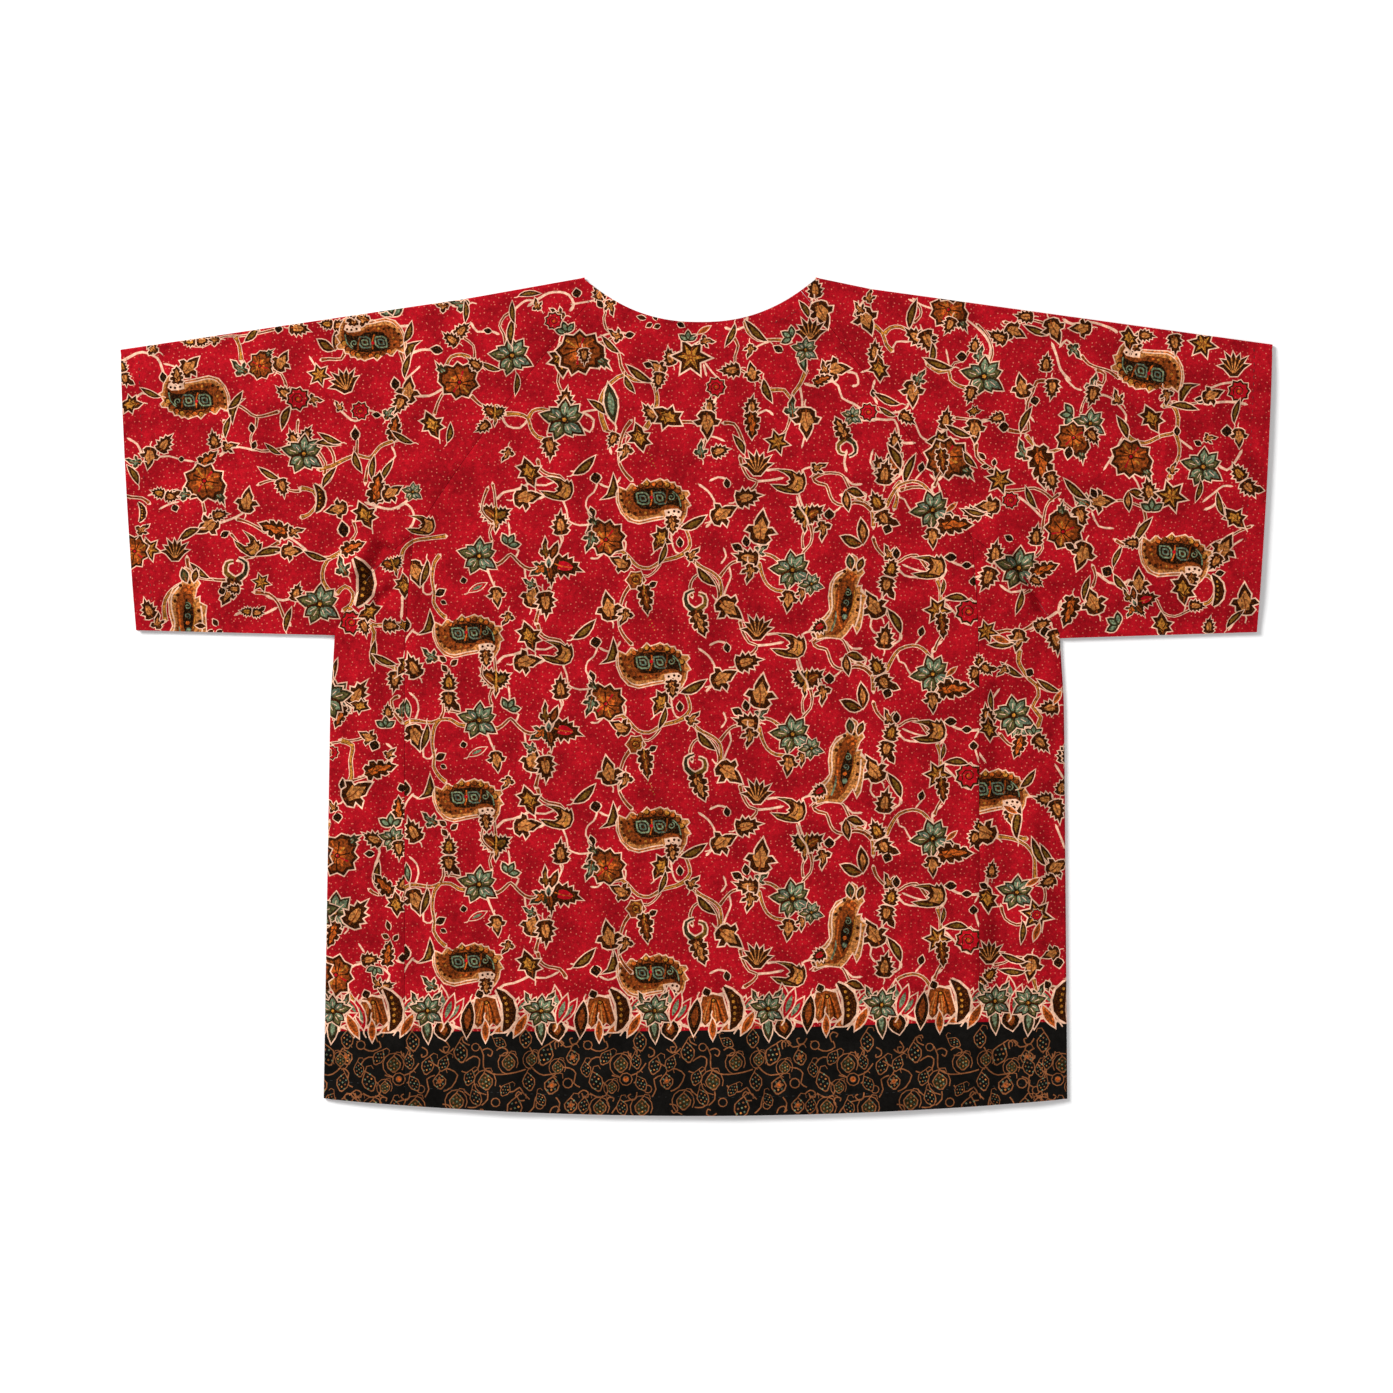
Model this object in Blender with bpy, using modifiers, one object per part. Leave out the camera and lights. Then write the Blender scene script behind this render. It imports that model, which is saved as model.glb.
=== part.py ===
"""Short batik shirt with wide raglan sleeves, laid flat on a surface with its back up.

Metres, +Z up. +Y runs to the neck and +X to the right sleeve. The origin lies on the
surface, under the middle of the shirt's outline.
"""
import math

import bpy
from mathutils import Vector

# Cloth and seams
CLOTH = 0.0012
SEAM_GAP = 0.0003
LAYER_SPACE = 0.0008
FOLD_RADIUS = (CLOTH + LAYER_SPACE) / 2
UPPER_LEVEL = CLOTH / 2 + 2 * FOLD_RADIUS

# Outline of the whole shirt
HEM_MIDDLE_Y = -0.2765
HEM_RISE = 0.0112
HEM_HALF_WIDTH = 0.245
CORNER_RADIUS = 0.0045
CUFF_CORNER = 0.003
CUFF_BOW = 0.0012
NECK_FLARE = 0.0026
NECK_FLARE_LENGTH = 0.020
TOP_EDGE_Y = 0.2737

# Neck
NECK_CENTRE_X = 0.0023
NECK_HALF_WIDTH = 0.0772
NECK_TIP_Y = 0.2763
BACK_NECK_DROP = 0.0294
BACK_NECK_POWER = 2.3
FRONT_NECK_DROP = 0.165
FRONT_NECK_POWER = 2.6
BACK_SEAM_AT = 0.86
FRONT_SEAM_AT = 0.93

# Sizes of each side, outwards from the middle of the shirt
SIDES = {
    "left": {
        "sign": -1,
        "cuff_top": (0.3798, 0.2288),
        "cuff_bottom": (0.3695, 0.0436),
        "underarm": (0.2386, 0.0403),
        "hem_corner": (0.2459, -0.2653),
        "junction": (0.1862, 0.1070),
        "seam_x": 0.1925,
    },
    "right": {
        "sign": 1,
        "cuff_top": (0.3798, 0.2322),
        "cuff_bottom": (0.3695, 0.0424),
        "underarm": (0.2399, 0.0383),
        "hem_corner": (0.2446, -0.2660),
        "junction": (0.1815, 0.1050),
        "seam_x": 0.1862,
    },
}
RAGLAN_BOW = 0.004
ARMHOLE_BOW = 0.006
SIDE_SHAPING = 0.0022

# Largest folds of the upper layer: where each starts and ends, its half width and height
FOLD_COLUMNS = ("start_x", "start_y", "end_x", "end_y", "width", "height")
FOLDS = [
    (-0.186, 0.118, -0.232, 0.054, 0.012, 0.0042),
    (-0.172, 0.084, -0.222, 0.036, 0.011, 0.0028),
    (-0.214, 0.020, -0.216, -0.110, 0.014, 0.0022),
    (-0.250, 0.085, -0.345, 0.120, 0.018, 0.0018),
    (-0.120, 0.222, -0.330, 0.172, 0.028, 0.0020),
    (0.188, 0.120, 0.235, 0.060, 0.012, 0.0038),
    (0.172, 0.082, 0.226, 0.032, 0.011, 0.0024),
    (0.228, 0.010, 0.229, -0.262, 0.012, 0.0026),
    (0.184, 0.030, 0.184, -0.262, 0.010, 0.0014),
    (0.128, 0.215, 0.338, 0.178, 0.028, 0.0020),
    (0.255, 0.092, 0.352, 0.082, 0.020, 0.0018),
    (-0.062, 0.125, -0.040, -0.170, 0.045, 0.0018),
    (0.094, 0.150, 0.112, -0.120, 0.040, 0.0018),
    (-0.122, -0.180, -0.128, -0.276, 0.022, 0.0024),
    (0.020, -0.190, 0.024, -0.276, 0.024, 0.0020),
    (0.122, -0.200, 0.118, -0.274, 0.020, 0.0018),
]
LOFT = 0.0010
LOFT_MARGIN = 0.028

# Steps along each seam, shared by the pieces that meet there
PANEL_STEPS = 24
RAGLAN_STEPS = 12
ARMHOLE_STEPS = 6
NECK_STEPS = 2
BACK_COLUMNS = 24
SLEEVE_COLUMNS = 10
FOLD_STEPS = 5
NECKLINE_STEPS = 28

COLLECTION_NAME = "batik_crop_shirt"
CLOTH_RED = (0.370, 0.008, 0.014, 1.0)
CLOTH_ROUGHNESS = 0.85


def lerp(start, end, t):
    """A point between two points."""
    return tuple(a + (b - a) * t for a, b in zip(start, end))


def bowed(start, end, bow, t):
    """A point on a shallow curve that stands off the straight line by bow at its middle."""
    x, y = lerp(start, end, t)
    along = Vector((end[0] - start[0], end[1] - start[1])).normalized()
    push = 4 * t * (1 - t) * bow
    return (x - along.y * push, y + along.x * push)


def smooth(value):
    """Ease from 0 to 1, held at both ends."""
    value = min(max(value, 0.0), 1.0)
    return value * value * (3 - 2 * value)


def rounding(distance, radius):
    """How far a rounded corner falls back, by the distance left to the edge."""
    if distance >= radius:
        return 0.0
    return radius - math.sqrt(max(radius ** 2 - (radius - distance) ** 2, 0.0))


def hem_y(x):
    """Height of the hem curve at x, with its rounded corners."""
    side = SIDES["left"] if x < 0 else SIDES["right"]
    arc = HEM_MIDDLE_Y + HEM_RISE * (x / HEM_HALF_WIDTH) ** 2
    return arc + rounding(side["hem_corner"][0] - abs(x), CORNER_RADIUS)


def neck_point(u, drop, power):
    """Point on a neckline, u from -1 at the left tip to 1 at the right tip."""
    x = NECK_CENTRE_X + u * NECK_HALF_WIDTH
    return (x, NECK_TIP_Y - drop * (1 - abs(u) ** power))


def neck_tip(side):
    """Tip of the neck on one side, outwards from the middle of the shirt."""
    return (NECK_HALF_WIDTH + side["sign"] * NECK_CENTRE_X, NECK_TIP_Y)


def neck_seam_point(side, layer):
    """Where the slanted seam meets the neckline."""
    if layer == "back":
        u, drop, power = BACK_SEAM_AT, BACK_NECK_DROP, BACK_NECK_POWER
    else:
        u, drop, power = FRONT_SEAM_AT, FRONT_NECK_DROP, FRONT_NECK_POWER
    x, y = neck_point(side["sign"] * u, drop, power)
    return (side["sign"] * x, y)


def neck_edge(side, layer, t):
    """Sleeve's own piece of neck edge, from the slanted seam up to the tip."""
    if layer == "back":
        u, drop, power = BACK_SEAM_AT, BACK_NECK_DROP, BACK_NECK_POWER
    else:
        u, drop, power = FRONT_SEAM_AT, FRONT_NECK_DROP, FRONT_NECK_POWER
    x, y = neck_point(side["sign"] * (u + (1 - u) * t), drop, power)
    return (side["sign"] * x, y)


def top_edge(side, t):
    """Upper edge of the sleeve, from the neck tip to the cuff."""
    tip = neck_tip(side)
    x, y = lerp((tip[0], TOP_EDGE_Y), side["cuff_top"], t)
    near = max(1 - (x - tip[0]) / NECK_FLARE_LENGTH, 0.0)
    return (x, y + NECK_FLARE * near ** 2)


def cuff_edge(side, t):
    """Open end of the sleeve, from the underarm seam to the top edge."""
    x, y = bowed(side["cuff_bottom"], side["cuff_top"], -CUFF_BOW, t)
    length = side["cuff_top"][1] - side["cuff_bottom"][1]
    return (x - rounding((1 - t) * length, CUFF_CORNER), y)


def raglan_seam(side, layer, t):
    """Slanted seam between sleeve and body, from the junction up to the neck."""
    return bowed(side["junction"], neck_seam_point(side, layer), -RAGLAN_BOW, t)


def armhole_seam(side, t):
    """Seam between sleeve and side panel, from the junction down to the underarm."""
    return bowed(side["junction"], side["underarm"], ARMHOLE_BOW, t)


def panel_seam(side, t):
    """Long seam between body and side panel, from the junction down to the hem."""
    start = side["junction"]
    x = start[0] + (side["seam_x"] - start[0]) * math.sin(math.pi / 2 * min(t * 4, 1.0))
    end_y = hem_y(side["sign"] * side["seam_x"])
    return (x, start[1] + (end_y - start[1]) * t)


def side_edge(side, t):
    """Body's side edge, from the underarm down to the hem."""
    x, y = lerp(side["underarm"], side["hem_corner"], t)
    x += SIDE_SHAPING * smooth(t * 6) * (1 - t)
    return (x, y)


def panel_hem(side, t):
    """Hem of the side panel, from the long seam out to the side edge."""
    x = side["seam_x"] + (side["hem_corner"][0] - side["seam_x"]) * t
    return (x, hem_y(side["sign"] * x))


def segment_distance(x, y, start, end):
    """Distance from a point to a straight stretch, and how far along it lies."""
    ax, ay = end[0] - start[0], end[1] - start[1]
    along = ((x - start[0]) * ax + (y - start[1]) * ay) / (ax * ax + ay * ay)
    held = min(max(along, 0.0), 1.0)
    return math.hypot(x - start[0] - ax * held, y - start[1] - ay * held), along


def closed_edge_distance(x, y):
    """Distance to the nearest edge where the two layers are joined."""
    side = SIDES["left"] if x < 0 else SIDES["right"]
    out = abs(x)
    stretches = (
        (side["underarm"], side["hem_corner"]),
        (side["underarm"], side["cuff_bottom"]),
        (neck_tip(side), side["cuff_top"]),
    )
    return min(segment_distance(out, y, *stretch)[0] for stretch in stretches)


def lift(x, y):
    """Height of the upper layer above where it would lie pressed flat."""
    height = LOFT
    for row in FOLDS:
        fold = dict(zip(FOLD_COLUMNS, row))
        start = (fold["start_x"], fold["start_y"])
        end = (fold["end_x"], fold["end_y"])
        distance, along = segment_distance(x, y, start, end)
        ends = smooth(0.25 + 4 * min(along, 1 - along)) if 0 < along < 1 else smooth(0.25)
        height += fold["height"] * ends * math.exp(-(distance / fold["width"]) ** 2)
    return height * smooth(closed_edge_distance(x, y) / LOFT_MARGIN)


def coons_grid(first, last, start, end):
    """Grid of plan points between four edges, each a list of points.

    first and last are the rows at both ends, start and end the columns that join them.
    """
    rows, columns = len(start) - 1, len(first) - 1
    grid = []
    for i in range(rows + 1):
        v = i / rows
        row = []
        for j in range(columns + 1):
            u = j / columns
            point = []
            for axis in (0, 1):
                across = (1 - v) * first[j][axis] + v * last[j][axis]
                along = (1 - u) * start[i][axis] + u * end[i][axis]
                corners = (1 - v) * ((1 - u) * first[0][axis] + u * first[-1][axis])
                corners += v * ((1 - u) * last[0][axis] + u * last[-1][axis])
                point.append(across + along - corners)
            row.append(Vector(point))
        grid.append(row)
    return grid


def pull_in(edge, inner):
    """Move the points of a seam edge half the seam gap towards the points inside it."""
    moved = []
    for k, point in enumerate(edge):
        before, after = edge[max(k - 1, 0)], edge[min(k + 1, len(edge) - 1)]
        along = (after - before).normalized()
        across = Vector((-along.y, along.x))
        if across.dot(inner[k] - point) < 0:
            across = -across
        moved.append(point + across * SEAM_GAP / 2)
    return moved


def pull_in_column(grid, column, inner_column):
    """Open half the seam gap along one column of a grid."""
    edge = [row[column] for row in grid]
    inner = [row[inner_column] for row in grid]
    for row, point in zip(grid, pull_in(edge, inner)):
        row[column] = point


def steps(count):
    """Even fractions from 0 to 1."""
    return [k / count for k in range(count + 1)]


def turn_side(points, side):
    """Plan points given outwards from the middle, placed on their own side."""
    return [Vector((side["sign"] * x, y)) for x, y in points]


def body_edge(side, layer):
    """Body's seam edge on one side, from the hem up to the neck."""
    lower = [panel_seam(side, t) for t in reversed(steps(PANEL_STEPS))]
    upper = [raglan_seam(side, layer, t) for t in steps(RAGLAN_STEPS)]
    return turn_side(lower + upper[1:], side)


def sleeve_seam_edge(side, layer):
    """Sleeve's inner edge on one layer, from the underarm up to the neck tip."""
    lower = [armhole_seam(side, t) for t in reversed(steps(ARMHOLE_STEPS))]
    middle = [raglan_seam(side, layer, t) for t in steps(RAGLAN_STEPS)]
    upper = [neck_edge(side, layer, t) for t in steps(NECK_STEPS)]
    return lower + middle[1:] + upper[1:]


def upper_point(point):
    """Point of the upper layer above a plan point."""
    return Vector((point.x, point.y, UPPER_LEVEL + lift(point.x, point.y)))


def lower_point(point):
    """Point of the lower layer, which lies on the surface."""
    return Vector((point.x, point.y, CLOTH / 2))


def fold_rows(edge, outward):
    """Rows that carry the cloth round a folded edge, from the upper to the lower layer."""
    rows = []
    for k in range(1, FOLD_STEPS):
        angle = math.pi * k / FOLD_STEPS
        height = CLOTH / 2 + FOLD_RADIUS * (1 + math.cos(angle))
        reach = FOLD_RADIUS * math.sin(angle)
        row = []
        for point, direction in zip(edge, outward):
            flat = point + direction * reach
            row.append(Vector((flat.x, flat.y, height)))
        rows.append(row)
    return rows


def outward_directions(edge, inner):
    """Unit directions across an edge, away from the points inside it."""
    directions = []
    for k, point in enumerate(edge):
        before, after = edge[max(k - 1, 0)], edge[min(k + 1, len(edge) - 1)]
        along = (after - before).normalized()
        across = Vector((-along.y, along.x))
        if across.dot(inner[k] - point) > 0:
            across = -across
        directions.append(across)
    return directions


def cloth_material(name):
    """Dyed red cotton."""
    material = bpy.data.materials.new(name)
    material.use_nodes = True
    shader = material.node_tree.nodes["Principled BSDF"]
    shader.inputs["Base Color"].default_value = CLOTH_RED
    shader.inputs["Roughness"].default_value = CLOTH_ROUGHNESS
    shader.inputs["Metallic"].default_value = 0.0
    return material


def cloth_piece(name, rows, collection):
    """One cut piece of cloth through rows of points, given its wall by Solidify."""
    columns = len(rows[0])
    points = [tuple(point) for row in rows for point in row]
    faces = []
    for i in range(len(rows) - 1):
        for j in range(columns - 1):
            first = i * columns + j
            faces.append((first, first + 1, first + 1 + columns, first + columns))
    mesh = bpy.data.meshes.new(name)
    mesh.from_pydata(points, [], faces)
    mesh.shade_smooth()
    piece = bpy.data.objects.new(name, mesh)
    wall = piece.modifiers.new("wall", "SOLIDIFY")
    wall.thickness = CLOTH
    wall.offset = 0
    piece.data.materials.append(cloth_material(name + "_cotton"))
    collection.objects.link(piece)
    return piece


def make_back(collection):
    """Centre back panel, the upper layer of the body."""
    left, right = SIDES["left"], SIDES["right"]
    hem = []
    for t in steps(BACK_COLUMNS):
        x = -left["seam_x"] + (left["seam_x"] + right["seam_x"]) * t
        hem.append((x, hem_y(x)))
    neck = []
    for t in steps(BACK_COLUMNS):
        u = BACK_SEAM_AT * (2 * t - 1)
        neck.append(neck_point(u, BACK_NECK_DROP, BACK_NECK_POWER))
    grid = coons_grid(hem, neck, body_edge(left, "back"), body_edge(right, "back"))
    pull_in_column(grid, 0, 1)
    pull_in_column(grid, -1, -2)
    rows = [[upper_point(point) for point in row] for row in grid]
    return cloth_piece("back", rows, collection)


def make_front(collection):
    """Centre front panel, flat under the back, with its deeper neck."""
    left = body_edge(SIDES["left"], "front")
    right = body_edge(SIDES["right"], "front")
    inside = Vector((0.0, 0.0))
    left = pull_in(left, [Vector((inside.x, point.y)) for point in left])
    right = pull_in(right, [Vector((inside.x, point.y)) for point in right])
    neck = []
    for t in steps(NECKLINE_STEPS)[1:-1]:
        u = FRONT_SEAM_AT * (1 - 2 * t)
        neck.append(Vector(neck_point(u, FRONT_NECK_DROP, FRONT_NECK_POWER)))
    hem = []
    for t in steps(BACK_COLUMNS)[1:-1]:
        x = left[0].x + (right[0].x - left[0].x) * t
        hem.append(Vector((x, hem_y(x))))
    outline = hem + right + neck + left[::-1]
    curve = bpy.data.curves.new("front", "CURVE")
    curve.dimensions = "2D"
    curve.fill_mode = "BOTH"
    curve.extrude = CLOTH / 2
    spline = curve.splines.new("POLY")
    spline.points.add(len(outline) - 1)
    for target, point in zip(spline.points, outline):
        target.co = (point.x, point.y, 0.0, 1.0)
    spline.use_cyclic_u = True
    piece = bpy.data.objects.new("front", curve)
    piece.location = (0.0, 0.0, CLOTH / 2)
    curve.materials.append(cloth_material("front_cotton"))
    collection.objects.link(piece)
    return piece


def layer_grid(side, layer):
    """Plan points of one layer of a sleeve, from the underarm edge to the top fold."""
    inset = FOLD_RADIUS + CLOTH / 2
    inner = sleeve_seam_edge(side, layer)
    rows = len(inner) - 1
    lengths = [0.0]
    for before, after in zip(inner, inner[1:]):
        lengths.append(lengths[-1] + math.dist(before, after))
    outer = [cuff_edge(side, length / lengths[-1]) for length in lengths]
    under = [lerp(side["underarm"], side["cuff_bottom"], t) for t in steps(SLEEVE_COLUMNS)]
    top = [top_edge(side, t) for t in steps(SLEEVE_COLUMNS)]
    top = [(x, y - inset) for x, y in top]
    inner[-1] = top[0]
    outer[-1] = (outer[-1][0], top[-1][1])
    top[-1] = outer[-1]
    grid = coons_grid(under, top, inner, outer)
    seam_rows = ARMHOLE_STEPS + RAGLAN_STEPS
    edge = [row[0] for row in grid[:seam_rows + 1]]
    inside = [row[1] for row in grid[:seam_rows + 1]]
    for row, point in zip(grid, pull_in(edge, inside)):
        row[0] = point
    assert len(grid) == rows + 1
    return [turn_side([tuple(point) for point in row], side) for row in grid]


def make_sleeve(name, side, collection):
    """Raglan sleeve, one cloth folded along its top edge and laid flat."""
    upper = layer_grid(side, "back")
    lower = layer_grid(side, "front")
    outward = outward_directions(upper[-1], upper[-2])
    rows = [[upper_point(point) for point in row] for row in upper]
    rows += fold_rows(upper[-1], outward)
    rows += [[lower_point(point) for point in row] for row in reversed(lower)]
    return cloth_piece(name, rows, collection)


def make_side(name, side, collection):
    """Side panel, one cloth wrapped round the body's side edge and laid flat."""
    inset = FOLD_RADIUS + CLOTH / 2
    top = [armhole_seam(side, t) for t in steps(ARMHOLE_STEPS)]
    seam = [panel_seam(side, t) for t in steps(PANEL_STEPS)]
    outer = [side_edge(side, t) for t in steps(PANEL_STEPS)]
    outer = [(x - inset, y) for x, y in outer]
    outer[-1] = (outer[-1][0], hem_y(side["sign"] * outer[-1][0]))
    top[-1] = outer[0]
    bottom = [panel_hem(side, t) for t in steps(ARMHOLE_STEPS)]
    bottom[-1] = outer[-1]
    grid = coons_grid(seam, outer, top, bottom)
    grid[0] = pull_in(grid[0], grid[1])
    pull_in_column(grid, 0, 1)
    layer = [turn_side([tuple(point) for point in row], side) for row in grid]
    outward = outward_directions(layer[-1], layer[-2])
    rows = [[upper_point(point) for point in row] for row in layer]
    rows += fold_rows(layer[-1], outward)
    rows += [[lower_point(point) for point in row] for row in reversed(layer)]
    return cloth_piece(name, rows, collection)


def main():
    """Build the shirt's six cut pieces."""
    for old in list(bpy.data.objects):
        bpy.data.objects.remove(old, do_unlink=True)
    collection = bpy.data.collections.new(COLLECTION_NAME)
    bpy.context.scene.collection.children.link(collection)
    make_back(collection)
    make_front(collection)
    for name, side in SIDES.items():
        make_sleeve("sleeve_" + name, side, collection)
        make_side("side_" + name, side, collection)


main()
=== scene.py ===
"""Looks of a short batik shirt with raglan sleeves, laid flat with its back up.

The shirt is in metres, +Z up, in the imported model's own frame. Print drawings are in
millimetres on the flat cloth, in painter's order, so a later shape covers an earlier one.
"""
import math

import bpy
import numpy as np
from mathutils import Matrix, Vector
from mathutils.geometry import delaunay_2d_cdt


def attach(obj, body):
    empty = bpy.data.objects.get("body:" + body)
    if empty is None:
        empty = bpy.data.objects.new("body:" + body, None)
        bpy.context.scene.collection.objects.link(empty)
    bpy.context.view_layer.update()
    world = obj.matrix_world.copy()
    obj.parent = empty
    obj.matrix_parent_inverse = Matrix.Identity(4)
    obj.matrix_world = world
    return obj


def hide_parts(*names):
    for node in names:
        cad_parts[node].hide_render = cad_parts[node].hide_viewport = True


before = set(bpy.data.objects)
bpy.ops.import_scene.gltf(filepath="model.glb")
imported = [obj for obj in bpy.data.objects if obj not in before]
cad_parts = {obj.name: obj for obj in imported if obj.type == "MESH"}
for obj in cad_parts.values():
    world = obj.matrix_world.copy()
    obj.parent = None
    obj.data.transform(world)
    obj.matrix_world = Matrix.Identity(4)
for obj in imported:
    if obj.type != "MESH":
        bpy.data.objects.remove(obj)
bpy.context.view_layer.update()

# Cloth as it lies
CLOTH = 0.0007
TOP_LEVEL = 0.0032
PRESSED_LEVEL = 0.0018
BEND = 0.0016
BEND_LENGTH = math.pi * BEND
SEAM_SHARE = 0.00012
PLAN_STEP = 0.0035
BEND_ROWS = np.linspace(0, BEND_LENGTH, 7)
FOLD_EASE = 0.004
EDGE_ROWS = (0.0011, 0.0024)
NORMAL_REACH = 0.00015

# Outline of the whole shirt
HEM_MIDDLE_Y = -0.2765
HEM_RISE = 0.0112
HEM_HALF_WIDTH = 0.245
CORNER_RADIUS = 0.0045
CUFF_CORNER = 0.005
CUFF_BOW = 0.0012
NECK_FLARE = 0.0026
NECK_FLARE_LENGTH = 0.020
TOP_EDGE_Y = 0.2737
NECK_CENTRE_X = 0.0023
NECK_HALF_WIDTH = 0.0772
NECK_TIP_Y = 0.2763
NECK_SHAPES = {"back": (0.0294, 2.3, 0.86), "front": (0.165, 2.6, 0.93)}
SIDES = {
    "left": {"sign": -1, "cuff_top": (0.3798, 0.2288),
             "cuff_bottom": (0.3695, 0.0436), "underarm": (0.2386, 0.0403), "hem_corner": (0.2459, -0.2653),
             "junction": (0.1862, 0.1070), "seam_x": 0.1925},
    "right": {"sign": 1, "cuff_top": (0.3798, 0.2322),
             "cuff_bottom": (0.3695, 0.0424), "underarm": (0.2399, 0.0383), "hem_corner": (0.2446, -0.2660),
             "junction": (0.1815, 0.1050), "seam_x": 0.1862},
}
RAGLAN_BOW = 0.004
ARMHOLE_BOW = 0.006
SIDE_SHAPING = 0.0022

# Rough lengths of the cut edges, which set how finely each is drawn
RAGLAN_LENGTH = 0.20
ARMHOLE_LENGTH = 0.085
PANEL_LENGTH = 0.37
UNDERARM_LENGTH = 0.13
CUFF_LENGTH = 0.185

LOFT = 0.0010
LOFT_MARGIN = 0.028


def folds(text):
    """Folds of the upper layer in metres, from rows in tenths of a millimetre.

    A row is start x and y, end x and y, half width and height.
    """
    return [tuple(float(size) / 10000 for size in row.split()) for row in text.split(";")]


# The solids' own folds, and the finer creases
FOLDS = folds("""
-1860 1180 -2320 540 120 42; -1720 840 -2220 360 110 28; -2140 200 -2160 -1100 140 22;
-2500 850 -3450 1200 180 18; -1200 2220 -3300 1720 280 20; 1880 1200 2350 600 120 38; 1720 820 2260 320 110 24;
2280 100 2290 -2620 120 26; 1840 300 1840 -2620 100 14; 1280 2150 3380 1780 280 20; 2550 920 3520 820 200 18;
-620 1250 -400 -1700 450 18; 940 1500 1120 -1200 400 18; -1220 -1800 -1280 -2760 220 24;
200 -1900 240 -2760 240 20; 1220 -2000 1180 -2740 200 18
""")
CREASES = folds("""
-2015 1020 -2190 695 74 -76; -2125 1085 -2325 765 68 40; -1980 715 -2125 600 54 -46;
-1760 1280 -2620 1180 90 11; -2280 410 -2300 -20 60 -30; -2380 1600 -3520 1500 120 -10;
-2100 2050 -3000 1960 100 9; -3000 700 -3660 640 100 9; -1100 1900 -1900 1300 110 10;
-900 2380 -1600 2320 80 8; 2060 960 2370 500 62 -72; 1940 980 2240 560 60 42; 2220 920 2440 660 45 -26;
1780 1300 2620 1140 90 10; 2320 380 2220 20 60 -12; 2460 1500 3560 1360 120 10; 2140 2060 3200 2060 100 -9;
2980 600 3620 520 90 8; 1120 1960 1780 1380 100 10; 900 2400 1700 2260 80 8; 2010 360 2030 -2620 85 -30;
-2400 -300 -2380 -2000 60 9; -2030 -40 -2050 -1900 80 -24; -1500 800 -1600 -1100 160 8; 200 2100 360 400 220 7;
-100 -600 140 -2200 180 -8; 1500 600 1520 -1900 140 7; -900 -600 -860 -2400 140 8; 700 -1200 740 -2700 120 8;
-700 2360 -200 2140 90 7; 720 2380 300 2120 90 7; -1700 -1700 -1760 -2680 100 10; 1640 -2150 1680 -2720 90 9;
-600 -2150 -560 -2760 100 9
""")

# How wide a fold is drawn finely, how finely, and from what height a crease is steep
CREASE_WIDE = 0.0125
CREASE_STEP = 0.0035
CREASE_ROWS = (-1.2, -0.75, -0.35, 0.0, 0.35, 0.75, 1.2)
CREASE_MARGIN = 0.004
STEEP_CREASE = 0.004
STEEP_ROWS = np.linspace(-1.5, 1.5, 13)

# Turned edges: how deep each is turned, and how much the doubled cloth stands up
TURN_RISE = 0.00022
TURN_BLEND = 0.0016
NECK_TURN = 0.0100
HEM_TURN = 0.0125
CUFF_TURN = 0.0120
STITCH_GROOVE = 0.00022
GROOVE_WIDTH = 0.0009
STITCHES = {"Stitch Spacing": 0.0044, "Stitch Length": 0.0026, "Thread Radius": 0.00024}
STITCH_LEVEL = 0.00005
NECK_STITCHES_END = 0.006
HEM_STITCHES = (-0.2405, 0.2400)
CUFF_STITCHES = (0.012, 0.982)
RED_THREAD = (96, 24, 22)
BLACK_THREAD = (24, 22, 20)

# Seams between the pieces
LOWER_SEAM_SHARE = 0.35
SEAM_DIP = 0.00034
SEAM_DIP_WIDTH = 0.0013
SEAM_RIDGE = 0.00018
SEAM_RIDGE_AT = 0.0045
SEAM_RIDGE_WIDTH = 0.0028
SEAM_REACH = 0.026
PUCKER = 0.00018
PUCKER_LENGTH = 0.0115
PUCKER_DRIFT = 130.0
PUCKER_REACH = 0.006

# Print, in millimetres
WAX = 0.9
CURVE_STEP = 3.2
# The charts' grid is the photo's pixels: millimetres a pixel, then the photo's centre
GRID_STEP = 0.66
GRID_X = 696.5
GRID_Y = 696.0
YOKE_LOW = 162.0
CORNER_LOW = 90.0
CORNER_LEFT = -150.0
CORNER_RIGHT = 171.0
BODY_REACH = 200.0
SIDE_RUN_ON = 180.0
SIDE_RUN_ON_LOW = 40.0
SIDE_FOLD = 235.0
SLEEVE_PRINT_FROM = 60.0
FRONT_SHIFT = 8.0
FRONT_TOP = 290
FRONT_REACH = 215
REPEAT_LOW = -190.5
BORDER_SLOPE = 0.034
BORDER_TURN = -10.0
BORDER_RUN = 180.0
BORDER_TOP = -220.5
BORDER_TOP_POINTS = 12
BORDER_LOW = -400
BORDER_MARGIN = 12
BACK_BORDER = (-196, 190)
FRONT_BORDER = (-196, 196)
SIDE_BORDER = (170, 260)
FIELD_LINE = 0.42
REPEAT_HEIGHT = 108.2
ROW_REPEAT = 74.8
ROW_MIDDLE = -120.0

# Points of the cloth, in millimetres: their spacing, how far they keep from the edge, and merging
GROUND_GRID = 6.8
GRID_ROWS = 0.87
FACE_MARGIN = 3.2
WRONG_MARGIN = 4.0
MARK_MARGIN = 1.0
PRINT_MERGE = 0.003
RIM_MERGE = 0.0005
STRIP = 600

# In metres: how far past the back's edge its print is drawn, and the marks on the wrong side
# beside the border's top edge
BACK_MARGIN = 0.022
MARK_GAP = 0.0003
MARK_STEP = 0.008
SIDE_MARK_STEP = 0.006
BACK_MARKS = (-0.19, 0.186)
FRONT_MARKS = (-0.185, 0.188)
SIDE_MARKS = (0.185, 0.245)

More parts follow.
